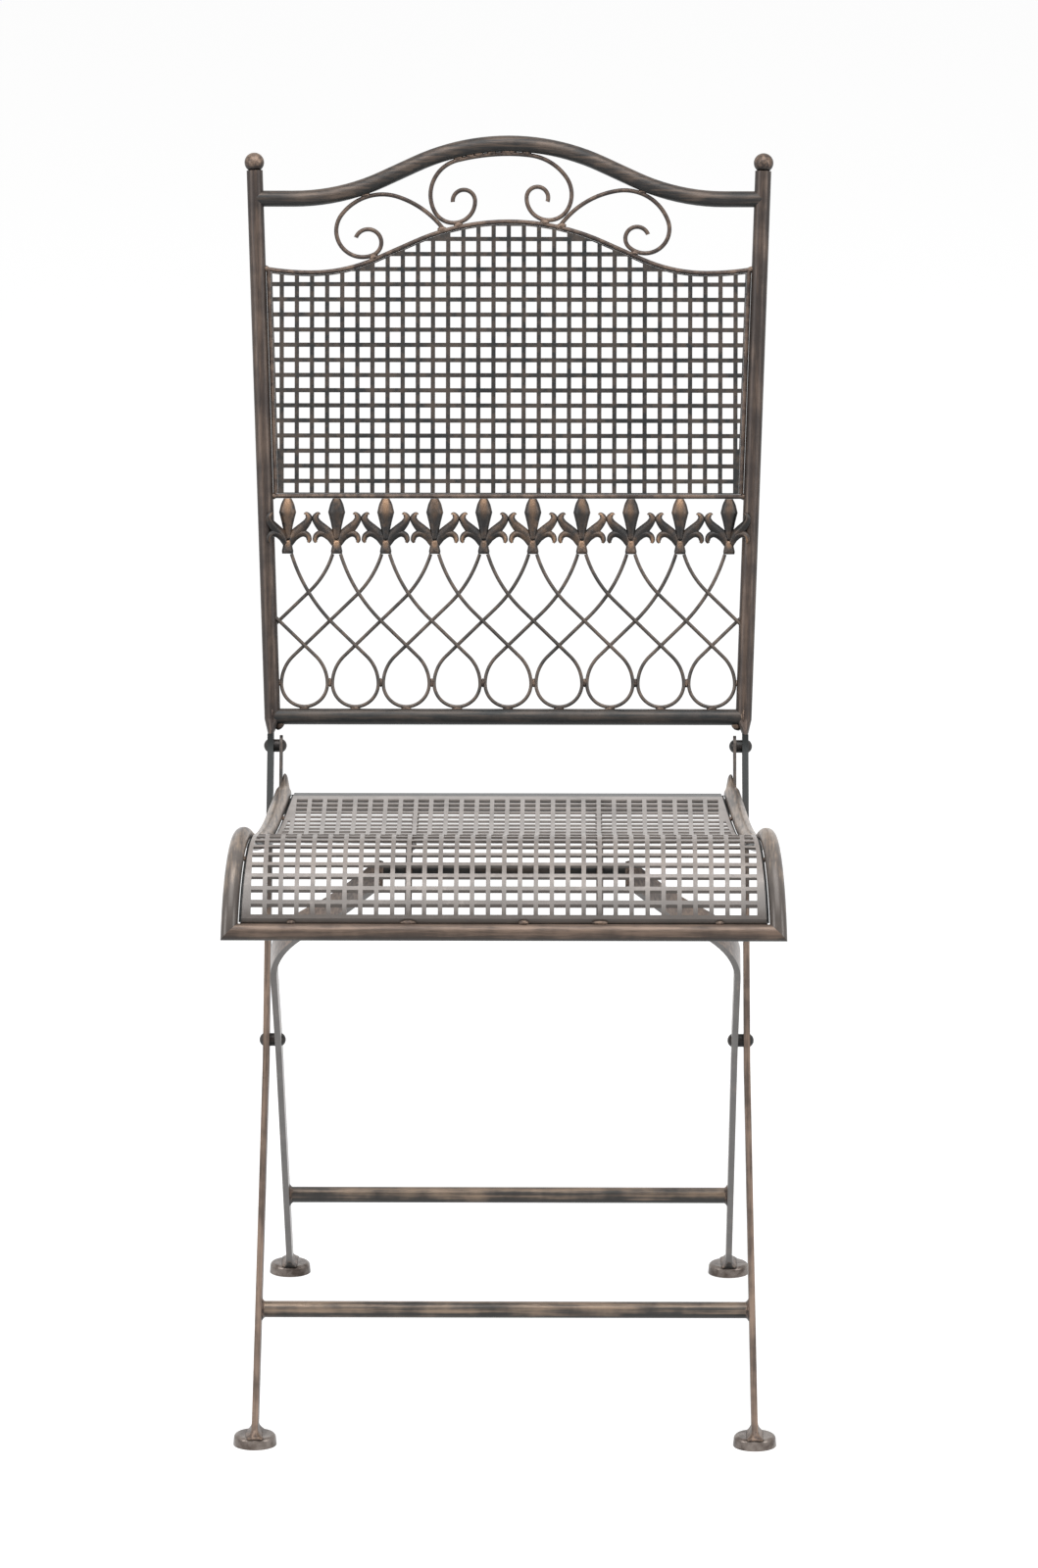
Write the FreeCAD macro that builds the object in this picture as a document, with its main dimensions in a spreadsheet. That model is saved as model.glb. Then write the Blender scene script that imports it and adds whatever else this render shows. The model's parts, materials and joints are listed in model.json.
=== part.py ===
import FreeCAD, Part

import math
import os

from Sketcher import Constraint

# Folding garden chair of steel tube and flat bar, with a perforated back and seat.
# X runs to the sitter's left-hand side as seen from the front, the chair faces -Y and
# +Z is up. The origin lies on the ground, under the middle of the whole chair.

os.makedirs("parts", exist_ok=True)

Vector = FreeCAD.Vector
Rotation = FreeCAD.Rotation
Placement = FreeCAD.Placement

X_AXIS = Vector(1, 0, 0)
Y_AXIS = Vector(0, 1, 0)
Z_AXIS = Vector(0, 0, 1)
ORIGIN = Vector(0, 0, 0)

doc = FreeCAD.newDocument("folding_garden_chair")
sheet = doc.addObject("Spreadsheet::Sheet", "Sizes")

# Driving dimensions, in millimetres and degrees
DRIVING_SIZES = [
    ("base_depth", 434.0, "front feet to rear feet"),
    ("pivot_setback", 295.0, "front feet to the seat pivot, level"),
    ("pivot_height", 450.0, "seat pivot above the ground"),
    ("leg_pivot_height", 258.0, "leg crossing pivot above the ground"),
    ("back_rake", 12.0, "back leans this far from upright"),
    ("bar_width", 20.0, "flat bar of the legs"),
    ("bar_thick", 4.5, "flat bar of the legs"),
    ("bar_bend", 42.0, "bend radius where leg turns into back"),
    ("front_leg_offset", 176.6, "centre plane of the outer leg bars"),
    ("front_foot_offset", 180.8, "outer bars splay out to here at the feet"),
    ("rear_foot_offset", 169.2, "inner bars splay out to here at the feet"),
    ("sleeve_length", 4.3, "spacer sleeve on each pivot"),
    ("sleeve_diameter", 9.6, "spacer sleeve"),
    ("side_play", 0.1, "axial play of the moving bar on each side"),
    ("rivet_diameter", 6.0, "pivot rivet shank"),
    ("rivet_head", 9.6, "domed rivet head"),
    ("rivet_dome", 2.9, "height of the domed head"),
    ("rivet_fit", 0.03, "radial gap of the rivet in the parts it holds"),
    ("pivot_play", 0.06, "radial play of a moving bar on its rivet"),
    ("tube_diameter", 12.0, "round tube of back, seat and rungs"),
    ("tube_wall", 1.2, "wall of the round tube"),
    ("foot_diameter", 31.4, "round foot pad, at the ground"),
    ("foot_height", 8.0, "round foot pad"),
    ("foot_taper", 0.7, "pad's side draws in by this over its height"),
    ("foot_round", 2.8, "rounded top rim of the pad"),
    ("front_rung_height", 86.0, "centre of the front rung"),
    ("rear_rung_height", 86.0, "centre of the rear rung"),
    ("weld_gap", 0.1, "gap bridged by a weld"),
    # back
    ("post_offset", 175.4, "tube centre at the bottom rail"),
    ("post_flare", 0.0336, "outward lean of the posts, per unit of length"),
    ("post_foot", 9.0, "post end above the seat pivot, along the back"),
    ("post_flatten", 11.0, "length over which the post is flattened"),
    ("post_flat_width", 17.5, "flattened end of the post"),
    ("post_length", 418.8, "post end to post top, along the back"),
    ("finial_diameter", 14.6, "ball on each post"),
    ("finial_sink", 1.4, "ball seated over the post top"),
    ("rail_low", 406.8, "top rail beside the posts, above the pivot"),
    ("rail_rise", 41.1, "crown of the top rail above its ends"),
    ("rail_crown_radius", 165.0, "crown of the top rail"),
    ("rail_slope", 24.7, "steepest slope of the top rail"),
    ("rail_half_span", 160.0, "middle to the foot of the crown"),
    ("bottom_rail_height", 21.7, "bottom rail above the pivot"),
    ("wire_diameter", 2.7, "wire of the lattice"),
    ("scroll_diameter", 3.2, "wire of the scrolls"),
    ("border_diameter", 3.4, "wire around the back sheet"),
    ("border_gap", 0.15, "side border wire to post"),
    ("arch_low", 351.9, "lowest point of the arched wire"),
    ("arch_rise", 38.0, "crown of the arched wire above that"),
    ("arch_crown_radius", 172.0, "crown of the arched wire"),
    ("arch_slope", 23.9, "steepest slope of the arched wire"),
    ("arch_half_span", 147.0, "middle to the low point"),
    ("arch_end_radius", 206.0, "upturn of the wire beside the post"),
    ("sheet_low", 185.8, "bottom border wire above the pivot"),
    ("sheet_thick", 1.5, "perforated sheet"),
    ("hole_pitch", 11.25, "square holes, both ways"),
    ("hole_side", 8.05, "square holes"),
    ("hole_least", 2.2, "narrowest clipped hole that is punched"),
    ("punch_margin", 0.9, "unpunched rim inside the border wires"),
    # castings
    ("casting_pitch", 36.5, "spacing of the ten castings"),
    ("casting_count", 10, "castings in the row"),
    ("casting_low", 142.9, "underside of the castings above the pivot"),
    ("bud_width", 12.8, "widest part of the bud"),
    ("bud_depth", 8.4, "bud from front to back"),
    ("leaf_thick", 4.4, "side leaves from front to back"),
    ("leaf_round", 0.9, "rounded rim of the side leaves"),
    ("collar_top", 6.6, "collar where it meets the leaves"),
    ("collar_foot", 8.8, "collar at its underside"),
    ("collar_height", 7.4, "collar under the leaves"),
    ("end_leaf_turn", 31.0, "outermost leaves are turned in front of the posts"),
    # lattice
    ("loop_pitch", 37.9, "spacing of the loops"),
    ("loop_count", 9, "loops in the row"),
    ("loop_radius", 17.1, "lower half of a loop, to the wire's centre"),
    ("loop_shoulder", 28.5, "upper sides of a loop, to the wire's centre"),
    ("loop_slant", 46.0, "angle of the crossing wires from upright"),
    ("strand_end", 17.0, "angle of a wire from upright under its casting"),
    ("strand_offset", 3.0, "wire from the middle of its casting"),
    ("strand_lean", 1.78, "front strands lean forward, rear ones back"),
    # seat
    ("crest_back", -6.0, "crest of the seat from the front feet"),
    ("crest_height", 453.0, "crest of the seat above the ground"),
    ("front_radius", 80.0, "rolled front of the seat"),
    ("front_fall", 67.7, "slope at the front tube"),
    ("rear_fall", 22.0, "steepest slope behind the crest"),
    ("dip_radius", 430.0, "hollow of the seat"),
    ("rear_rise", 3.0, "slope at the back of the seat"),
    ("seat_rear", 268.0, "rear edge of the sheet from the front feet"),
    ("side_tail", 2.0, "side tube runs straight past the sheet"),
    ("tail_radius", 30.0, "upturned end of the side tube"),
    ("tail_turn", 34.0, "upturned end of the side tube"),
    ("tail_neck", 5.7, "radius where the pressed end leaves the side tube"),
    ("tail_lap", 1.0, "pressed end, set into the side tube"),
    ("tail_press_width", 16.5, "side tube's end, pressed flat beside the hanger"),
    ("tail_press_thick", 4.2, "side tube's end, pressed flat beside the hanger"),
    ("seat_front_offset", 193.5, "side tube centre at the front corner"),
    ("seat_taper", 0.0773, "side tubes close in, per unit of depth"),
    ("sheet_inset", 8.3, "side tube centre to the sheet's edge"),
    ("front_inset", 8.3, "front tube centre to the sheet's edge"),
    ("sheet_margin", 3.0, "unpunched edge of the seat sheet"),
    ("seat_border_diameter", 2.7, "wire under the edge of the seat sheet"),
    ("seat_border_out", 0.8, "wire's centre outside the sheet's edge"),
    ("rod_diameter", 5.0, "rods under the seat sheet"),
    ("rod_offset", 67.5, "rods from the middle"),
    ("rear_tube_back", 259.0, "rear tube of the seat from the front feet"),
    ("hanger_width", 16.0, "hanger strap"),
    ("hanger_thick", 2.2, "hanger strap"),
    ("hanger_foot_back", 279.0, "foot of the hanger from the front feet"),
    # bearer
    ("bearer_diameter", 10.0, "cross tube that carries the seat"),
    ("bearer_angle", 22.1, "bearer ahead of the crest, about the roll's centre"),
    ("bearer_reach", 91.0, "bent bar's centre beside the bearer, from the middle"),
    ("bearer_offset", 5.5, "bearer above the middle of the bent bars"),
    ("bearer_gap", 0.3, "running gap under the rods"),
    ("bend_start", 124.2, "leg pivot to the start of the inward bend"),
    ("bend_radius", 108.5, "inward bend of the inner bars"),
    ("ease_radius", 250.0, "gentle bend back before the bearer"),
    ("ease_turn", 11.1, "gentle bend back before the bearer"),
    ("bar_tip", 6.5, "bent bar runs past the bearer's middle"),
]

for row, (alias, value, note) in enumerate(DRIVING_SIZES, start=1):
    sheet.set("A%d" % row, note)
    sheet.set("B%d" % row, str(value))
    sheet.setAlias("B%d" % row, alias)
doc.recompute()


def size(alias):
    """One driving dimension, read back from the sheet."""
    return float(sheet.get(alias))


def cell(alias):
    """Expression that names one driving dimension."""
    return "<<Sizes>>." + alias


def sine(degrees):
    return math.sin(math.radians(degrees))


def cosine(degrees):
    return math.cos(math.radians(degrees))


# Places worked out from the driving dimensions; Y is counted from the front feet and
# moved to the chair's origin only in the frames below
pivot = Vector(0, size("pivot_setback"), size("pivot_height"))
rake = size("back_rake")
bar = size("bar_thick")
bar_width = size("bar_width")
tube = size("tube_diameter")
tube_radius = tube / 2
foot_top = size("foot_height")
weld_gap = size("weld_gap")

leg_run = (size("leg_pivot_height") - foot_top) / (pivot.z - foot_top)
crossing = Vector(0, pivot.y * leg_run, size("leg_pivot_height"))
leg_lean = math.degrees(math.atan2(pivot.y, pivot.z - foot_top))
front_x = size("front_leg_offset")
rear_x = front_x - bar - size("sleeve_length") - 2 * size("side_play")
hanger_x = (front_x - bar / 2 - size("sleeve_length") - 2 * size("side_play")
            - size("hanger_thick") / 2)

# The origin is under the middle of the chair, between the front tube and the rear pads
foremost = size("crest_back") - size("front_radius") * sine(size("front_fall")) - tube_radius
rearmost = size("base_depth") + size("foot_diameter") / 2
ground_shift = Vector(0, -(foremost + rearmost) / 2, 0)
back_frame = Placement(pivot + ground_shift, Rotation(X_AXIS, 90 - rake))
chair_frame = Placement(ground_shift, Rotation())


nodes = []


def register(obj, label):
    """Note a finished sub-part under the name of its file."""
    obj.Label = label
    nodes.append(obj)
    return obj


def keep_shape(label, shape, frame):
    """A sub-part whose shape is worked out in its own frame and then placed."""
    obj = doc.addObject("Part::Feature", label)
    obj.Shape = shape
    obj.Placement = frame.multiply(shape.Placement)
    return register(obj, label)


def trace(start, heading, moves, side=0.0):
    """Edges of a flat path of lines and tangent arcs, or of its parallel on one side.

    A move is ("line", length) or ("arc", radius, turn) with a left turn positive;
    side shifts the whole path to its left by that distance.
    """
    edges = []
    place = start + Vector(-sine(heading), cosine(heading), 0) * side
    for move in moves:
        ahead = Vector(cosine(heading), sine(heading), 0)
        left = Vector(-sine(heading), cosine(heading), 0)
        if move[0] == "line":
            end = place + ahead * move[1]
            edges.append(Part.LineSegment(place, end).toShape())
        else:
            turn = move[2]
            way = 1 if turn > 0 else -1
            radius = move[1] - side * way
            middle = place + left * (radius * way)
            half = heading + turn / 2
            heading = heading + turn
            via = middle - Vector(-sine(half), cosine(half), 0) * (radius * way)
            end = middle - Vector(-sine(heading), cosine(heading), 0) * (radius * way)
            edges.append(Part.Arc(place, via, end).toShape())
        place = end
    return edges


def last_point(edges):
    """Where a traced path ends."""
    return edges[-1].lastVertex(True).Point


def ribbon(start, heading, moves, width):
    """Closed outline of constant width along a traced path."""
    left = trace(start, heading, moves, width / 2)
    right = trace(start, heading, moves, -width / 2)
    far = Part.LineSegment(last_point(left), last_point(right)).toShape()
    near = Part.LineSegment(right[0].firstVertex(True).Point,
                            left[0].firstVertex(True).Point).toShape()
    return Part.Face(Part.Wire(Part.__sortEdges__(left + [far] + right + [near])))


def sweep(edges, diameter):
    """Round bar along a path of tangent edges."""
    path = Part.Wire(edges)
    first = edges[0]
    direction = first.tangentAt(first.FirstParameter)
    origin = first.valueAt(first.FirstParameter)
    section = Part.Wire(Part.Circle(origin, direction, diameter / 2).toShape())
    return path.makePipeShell([section], True, False)


def hollow(edges, diameter, wall):
    """Round tube along a path of tangent edges, open at both ends."""
    return sweep(edges, diameter).cut(sweep(edges, diameter - 2 * wall))


def half_space(point, normal, reach=90.0):
    """Block that fills the space on the side of a plane that its normal points to."""
    block = Part.makeBox(2 * reach, 2 * reach, 2 * reach, Vector(-reach, -reach, 0))
    block.Placement = Placement(point, Rotation(Z_AXIS, normal))
    return block


def mirrored(shape):
    """Mirror image of a shape across the chair's middle plane."""
    return shape.mirror(ORIGIN, X_AXIS)


def bound_cylinder(name, radius, height, frame):
    """Cylinder whose radius and height are expressions of the sheet."""
    body = doc.addObject("Part::Cylinder", name)
    body.setExpression("Radius", radius)
    body.setExpression("Height", height)
    body.Placement = frame
    return body


def bound_tube(label, diameter, length, frame):
    """Straight tube: an outer cylinder less its bore, both bound to the sheet."""
    outer = bound_cylinder(label + "_outside", diameter + " / 2", length, frame)
    inner_radius = "%s / 2 - %s" % (diameter, cell("tube_wall"))
    inner = bound_cylinder(label + "_bore", inner_radius, length, frame)
    cut = doc.addObject("Part::Cut", label)
    cut.Base = outer
    cut.Tool = inner
    return register(cut, label)


def along_x(x, y, z):
    """Frame whose local Z runs along the chair's X."""
    return Placement(Vector(x, y, z) + ground_shift, Rotation(Y_AXIS, 90))


# Legs

def leg_foot_section(middle, lean, x):
    """Rectangle of the flat bar, across a leg that leans from upright by an angle."""
    across = Vector(0, cosine(lean), sine(lean)) * (bar_width / 2)
    aside = Vector(bar / 2, 0, 0)
    centre = Vector(x, middle.y, middle.z)
    corners = [centre + across + aside, centre + across - aside,
               centre - across - aside, centre - across + aside]
    return Part.makePolygon(corners + corners[:1])


def pivot_hole(place, x, diameter):
    """Cylinder along X for the hole of a pivot."""
    return Part.makeCylinder(diameter / 2, 4 * bar, Vector(x - 2 * bar, place.y, place.z),
                             X_AXIS)


def lower_leg(from_point, foot_y, lean, x_top, x_foot):
    """Straight lower leg, splayed sideways, cut level just over its pad."""
    along = Vector(0, sine(lean), -cosine(lean))
    run = from_point.z / cosine(lean)
    top = leg_foot_section(from_point, lean, x_top)
    bottom = leg_foot_section(from_point + along * run, lean, x_foot)
    leg = Part.makeLoft([top, bottom], True, True)
    ground = Vector(x_foot, foot_y, foot_top + weld_gap)
    return leg.cut(half_space(ground, Vector(0, 0, -1)))


def front_leg(side):
    """Outer flat bar: down from the back post through both pivots to the front foot."""
    heading = 90 - rake - 180
    bend = rake - leg_lean
    bend_tangent = size("bar_bend") * math.tan(math.radians(-bend / 2))
    start = Vector(pivot.y, pivot.z, 0) + Vector(sine(rake), cosine(rake), 0) * size("post_foot")
    reach = (pivot - crossing).Length
    moves = [("line", size("post_foot") - bend_tangent),
             ("arc", size("bar_bend"), bend),
             ("line", reach - bend_tangent + bar_width)]
    face = ribbon(start, heading, moves, bar_width)
    upper = face.extrude(Vector(0, 0, bar))
    upper.Placement = Placement(Vector(side * front_x - bar / 2, 0, 0),
                                Rotation(Y_AXIS, Z_AXIS, X_AXIS, "XYZ"))
    joint = crossing + Vector(0, -sine(leg_lean), -cosine(leg_lean)) * bar_width
    lower = lower_leg(joint, 0, -leg_lean, side * front_x, side * size("front_foot_offset"))
    leg = upper.fuse(lower).removeSplitter()
    for place in (pivot, crossing):
        leg = leg.cut(pivot_hole(place, side * front_x,
                                 size("rivet_diameter") + 2 * size("rivet_fit")))
    return leg


rear_lean = math.degrees(math.atan2(size("base_depth") - crossing.y, crossing.z - foot_top))

# The seat's rolled front and the bearer under it
crest = Vector(0, size("crest_back"), size("crest_height"))
roll_centre = crest - Z_AXIS * size("front_radius")
bearer_reach = (size("front_radius") - size("sheet_thick") / 2 - size("rod_diameter")
                - size("bearer_gap") - size("bearer_diameter") / 2 - weld_gap)
bearer = roll_centre + Vector(0, -sine(size("bearer_angle")),
                              cosine(size("bearer_angle"))) * bearer_reach
to_bearer = bearer - crossing
upper_lean = (math.degrees(math.atan2(-to_bearer.y, to_bearer.z))
              + math.degrees(math.asin(size("bearer_offset") / to_bearer.Length)))
upper_length = math.sqrt(to_bearer.Length ** 2 - size("bearer_offset") ** 2)


bearer_aside = rear_x - size("bearer_reach")
bend_radius = size("bend_radius")
ease_radius = size("ease_radius")
ease_turn = size("ease_turn")


def after_bends(turn):
    """Straight run left up to the bearer after both bends, and the bar's reach inward there."""
    eased = turn - ease_turn
    run = bend_radius * sine(turn) + ease_radius * (sine(turn) - sine(eased))
    aside = bend_radius * (1 - cosine(turn)) + ease_radius * (cosine(eased) - cosine(turn))
    left = upper_length - size("bend_start") - run
    return left, aside + left * math.tan(math.radians(eased))


# The first bend is the one that brings the bar's tip to the bearer's end
least_turn = ease_turn
most_turn = 75.0
for halving in range(40):
    inward_turn = (least_turn + most_turn) / 2
    if after_bends(inward_turn)[1] < bearer_aside:
        least_turn = inward_turn
    else:
        most_turn = inward_turn
tip_turn = inward_turn - ease_turn


def bent_bar_frame(side):
    """Frame at the leg crossing: local X up the bar, local Y inward, local Z its width."""
    up = Vector(0, -sine(upper_lean), cosine(upper_lean))
    inward = Vector(-side, 0, 0)
    return Placement(crossing + Vector(side * rear_x, 0, 0),
                     Rotation(up, inward, up.cross(inward), "XYZ"))


def rear_leg(side):
    """Inner flat bar: bent inward under the seat, then down to the rear foot."""
    moves = [("line", size("bend_start")), ("arc", bend_radius, inward_turn),
             ("arc", ease_radius, -ease_turn),
             ("line", after_bends(inward_turn)[0] / cosine(tip_turn) + size("bar_tip"))]
    upper = ribbon(ORIGIN, 0, moves, bar).extrude(Vector(0, 0, bar_width))
    upper.translate(Vector(0, 0, -bar_width / 2))
    upper.Placement = bent_bar_frame(side).multiply(upper.Placement)
    boss = Part.makeCylinder(bar_width / 2, bar,
                             Vector(side * rear_x - bar / 2, crossing.y, crossing.z), X_AXIS)
    lower = lower_leg(crossing, size("base_depth"), rear_lean, side * rear_x,
                      side * size("rear_foot_offset"))
    leg = boss.fuse([upper, lower]).removeSplitter()
    return leg.cut(pivot_hole(crossing, side * rear_x,
                              size("rivet_diameter") + 2 * size("pivot_play")))


def bearer_tube():
    """Tube between the bent bars, its ends cut to lie along their inner faces."""
    reach = size("bearer_reach")
    line = [Part.LineSegment(Vector(-reach, bearer.y, bearer.z),
                             Vector(reach, bearer.y, bearer.z)).toShape()]
    solid = hollow(line, size("bearer_diameter"), size("tube_wall"))
    for name, side in SIDES:
        frame = bent_bar_frame(side)
        outward = frame.Rotation.multVec(Vector(sine(tip_turn), -cosine(tip_turn), 0))
        centre = frame.multVec(Vector(upper_length, bearer_aside, 0))
        solid = solid.cut(half_space(centre - outward * (bar / 2 + weld_gap), outward))
    return solid


LEFT = -1
RIGHT = 1
SIDES = (("left", LEFT), ("right", RIGHT))

for name, side in SIDES:
    keep_shape("front_leg_" + name, front_leg(side), chair_frame)
for name, side in SIDES:
    keep_shape("rear_leg_" + name, rear_leg(side), chair_frame)


def foot_pad(label, x, y):
    """Round pad turned from its half section: flat below, slightly tapered, rounded on top."""
    body = doc.addObject("PartDesign::Body", label)
    plane = [f for f in body.Origin.OriginFeatures if f.Role == "XZ_Plane"][0]
    sketch = body.newObject("Sketcher::SketchObject", label + "_section")
    sketch.AttachmentSupport = [(plane, "")]
    sketch.MapMode = "FlatFace"
    radius = size("foot_diameter") / 2
    brim = radius - size("foot_taper")
    corners = [Vector(0, 0, 0), Vector(radius, 0, 0), Vector(brim, foot_top, 0),
               Vector(0, foot_top, 0)]
    count = len(corners)
    for index, corner in enumerate(corners):
        sketch.addGeometry(Part.LineSegment(corner, corners[(index + 1) % count]), False)
    for index in range(count):
        sketch.addConstraint(Constraint("Coincident", index, 2, (index + 1) % count, 1))
    sketch.addConstraint(Constraint("Coincident", 0, 1, -1, 1))
    sketch.addConstraint(Constraint("Horizontal", 0))
    sketch.addConstraint(Constraint("Horizontal", 2))
    sketch.addConstraint(Constraint("Vertical", 3))
    bindings = [("DistanceX", 0, 1, 0, 2, radius, cell("foot_diameter") + " / 2"),
                ("DistanceX", 2, 2, 2, 1, brim,
                 "%s / 2 - %s" % (cell("foot_diameter"), cell("foot_taper"))),
                ("DistanceY", 3, 2, 3, 1, foot_top, cell("foot_height"))]
    for kind, first, first_end, second, second_end, value, formula in bindings:
        number = sketch.addConstraint(Constraint(kind, first, first_end, second, second_end,
                                                 value))
        sketch.setExpression("Constraints[%d]" % number, formula)
    turned = body.newObject("PartDesign::Revolution", label + "_turned")
    turned.Profile = sketch
    turned.ReferenceAxis = (sketch, ["V_Axis"])
    turned.Angle = 360.0
    doc.recompute()
    rims = ["Edge%d" % (number + 1) for number, edge in enumerate(turned.Shape.Edges)
            if edge.Closed and abs(edge.BoundBox.ZMax - foot_top) < 0.01
            and abs(edge.BoundBox.ZMin - foot_top) < 0.01]
    rounded = body.newObject("PartDesign::Fillet", label + "_rounded")
    rounded.Base = (turned, rims)
    rounded.setExpression("Radius", cell("foot_round"))
    body.Placement = Placement(Vector(x, y, 0) + ground_shift, Rotation())
    return register(body, label)


for name, side in SIDES:
    foot_pad("front_foot_" + name, side * size("front_foot_offset"), 0)
for name, side in SIDES:
    foot_pad("rear_foot_" + name, side * size("rear_foot_offset"), size("base_depth"))


def splayed_x(height, pivot_x, foot_x, start_height):
    """X of a splayed leg's centre at a height."""
    share = (start_height - height) / start_height
    return pivot_x + (foot_x - pivot_x) * share


front_start = crossing.z - bar_width * cosine(leg_lean)
front_rung_x = splayed_x(size("front_rung_height"), front_x, size("front_foot_offset"),
                         front_start) - bar / 2 - 2 * weld_gap
rear_rung_x = splayed_x(size("rear_rung_height"), rear_x, size("rear_foot_offset"),
                        crossing.z) - bar / 2 - 2 * weld_gap


def leg_y(height, top, foot_y):
    """Y of a straight leg's centreline at a height."""
    share = (height - foot_top) / (top.z - foot_top)
    return foot_y + (top.y - foot_y) * share


# The rungs end on the inner faces of the splayed bars, so their lengths follow these cells
sheet_row = len(DRIVING_SIZES)
for alias, value in (("front_rung_half", front_rung_x), ("rear_rung_half", rear_rung_x)):
    sheet_row += 1
    sheet.set("B%d" % sheet_row, str(value))
    sheet.setAlias("B%d" % sheet_row, alias)
doc.recompute()

bound_tube("front_rung", cell("tube_diameter"), "2 * " + cell("front_rung_half"),
           along_x(-front_rung_x, leg_y(size("front_rung_height"), pivot, 0),
                   size("front_rung_height")))
bound_tube("rear_rung", cell("tube_diameter"), "2 * " + cell("rear_rung_half"),
           along_x(-rear_rung_x, leg_y(size("rear_rung_height"), crossing, size("base_depth")),
                   size("rear_rung_height")))
keep_shape("seat_bearer", bearer_tube(), chair_frame)


# Pivots: one rivet and one spacer sleeve at each

def rivet(place, outer_x, inner_x, side):
    """Shank with two domed heads, from the outer bar's face to the inner one's."""
    head = size("rivet_head") / 2
    dome = size("rivet_dome")
    ball_radius = (head ** 2 + dome ** 2) / (2 * dome)
    span = outer_x - inner_x
    shank = Part.makeCylinder(size("rivet_diameter") / 2, span, ORIGIN, Z_AXIS)
    heads = []
    for base, outward in ((span, 1), (0, -1)):
        ball = Part.makeSphere(ball_radius)
        ball.translate(Vector(0, 0, base - outward * (ball_radius - dome)))
        heads.append(ball.common(half_space(Vector(0, 0, base), Vector(0, 0, outward))))
    solid = shank.fuse(heads).removeSplitter()
    axis = Vector(side, 0, 0)
    solid.Placement = Placement(Vector(side * inner_x, place.y, place.z),
                                Rotation(Z_AXIS, axis))
    return solid


def sleeve(place, outer_x, side):
    """Spacer that keeps the two bars of a pivot apart."""
    length = size("sleeve_length")
    ring = Part.makeCylinder(size("sleeve_diameter") / 2, length)
    ring = ring.cut(Part.makeCylinder(size("rivet_diameter") / 2 + size("rivet_fit"), length))
    ring.Placement = Placement(Vector(side * (outer_x - length), place.y, place.z),
                               Rotation(Z_AXIS, Vector(side, 0, 0)))
    return ring


outer_face = front_x + bar / 2
inner_face = front_x - bar / 2
hanger_back = hanger_x - size("hanger_thick") / 2 - size("side_play")
rear_leg_back = rear_x - bar / 2 - size("side_play")
keep_shape("seat_pivot_rivets",
           Part.makeCompound([rivet(pivot, outer_face, hanger_back, side)
                              for name, side in SIDES]), chair_frame)
keep_shape("leg_pivot_rivets",
           Part.makeCompound([rivet(crossing, outer_face, rear_leg_back, side)
                              for name, side in SIDES]), chair_frame)
keep_shape("pivot_spacers",
           Part.makeCompound([sleeve(place, inner_face, side)
                              for place in (pivot, crossing) for name, side in SIDES]),
           chair_frame)


# Back: everything here is drawn flat, X across, Y up along the back, Z towards the sitter

flare = size("post_flare")
post_foot = size("post_foot")
post_top = post_foot + size("post_length")
rail_height = size("bottom_rail_height")


def post_x(height):
    """X of a post's centre at a height along the back."""
    return size("post_offset") + flare * (height - rail_height)


def post_solid(side, bore=0.0):
    """Post with its lower end pressed flat to the bar's thickness."""
    neck = post_foot + size("post_flatten")
    start = Vector(side * post_x(neck), neck, 0)
    end = Vector(side * post_x(post_top), post_top, 0)
    run = end - start
    round_part = Part.makeCylinder(tube_radius - bore, run.Length, start, run)
    round_wire = Part.Wire(Part.Circle(start, run, tube_radius - bore).toShape())
    if bore > 0:
        return round_part
    flat = Part.Ellipse(Vector(side * front_x, post_foot, size("post_flat_width") / 2),
                        Vector(side * front_x + bar / 2, post_foot, 0),
                        Vector(side * front_x, post_foot, 0))
    flat_wire = Part.Wire(flat.toShape())
    pressed = Part.makeLoft([flat_wire, round_wire], True, False)
    return round_part.fuse(pressed)


posts = {}
for name, side in SIDES:
    posts[side] = post_solid(side)
    post_tube = posts[side].cut(post_solid(side, size("tube_wall")))
    keep_shape("back_post_" + name, post_tube, back_frame)

for name, side in SIDES:
    ball = doc.addObject("Part::Sphere", "finial_ball_" + name)
    ball.setExpression("Radius", cell("finial_diameter") + " / 2")
    radius = size("finial_diameter") / 2
    centre = Vector(side * post_x(post_top + radius), post_top + radius - size("finial_sink"), 0)
    ball.Placement = back_frame.multiply(Placement(centre, Rotation()))
    flat = doc.addObject("Part::Cylinder", "finial_flat_" + name)
    flat.setExpression("Radius", cell("finial_diameter"))
    flat.setExpression("Height", cell("finial_diameter"))
    lean = Vector(side * flare, 1, 0)
    seat = Vector(side * post_x(post_top), post_top, 0)
    flat.Placement = back_frame.multiply(
        Placement(seat - lean * size("finial_diameter"), Rotation(Z_AXIS, lean)))
    finial = doc.addObject("Part::Cut", "finial_" + name)
    finial.Base = ball
    finial.Tool = flat
    register(finial, "finial_" + name)

both_posts = posts[LEFT].fuse(posts[RIGHT])

bottom_half = post_x(rail_height) - tube_radius
bottom_rail = hollow([Part.LineSegment(Vector(-bottom_half - tube_radius, rail_height, 0),
                                       Vector(bottom_half + tube_radius, rail_height, 0)).toShape()],
                     tube, size("tube_wall"))
keep_shape("back_bottom_rail", bottom_rail.cut(both_posts), back_frame)


def crown_moves(half_span, rise, slope, crown_radius):
    """Moves of one flank of an arch: crown arc, straight flank and counter arc.

    The counter arc's radius and the straight run are the two lengths that make the
    flank end level, half_span out and rise lower.
    """
    total = (half_span * sine(slope) - rise * cosine(slope)) / (1 - cosine(slope))
    straight = (half_span - total * sine(slope)) / cosine(slope)
    return [("arc", crown_radius, -slope), ("line", straight),
            ("arc", total - crown_radius, slope)]


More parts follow.
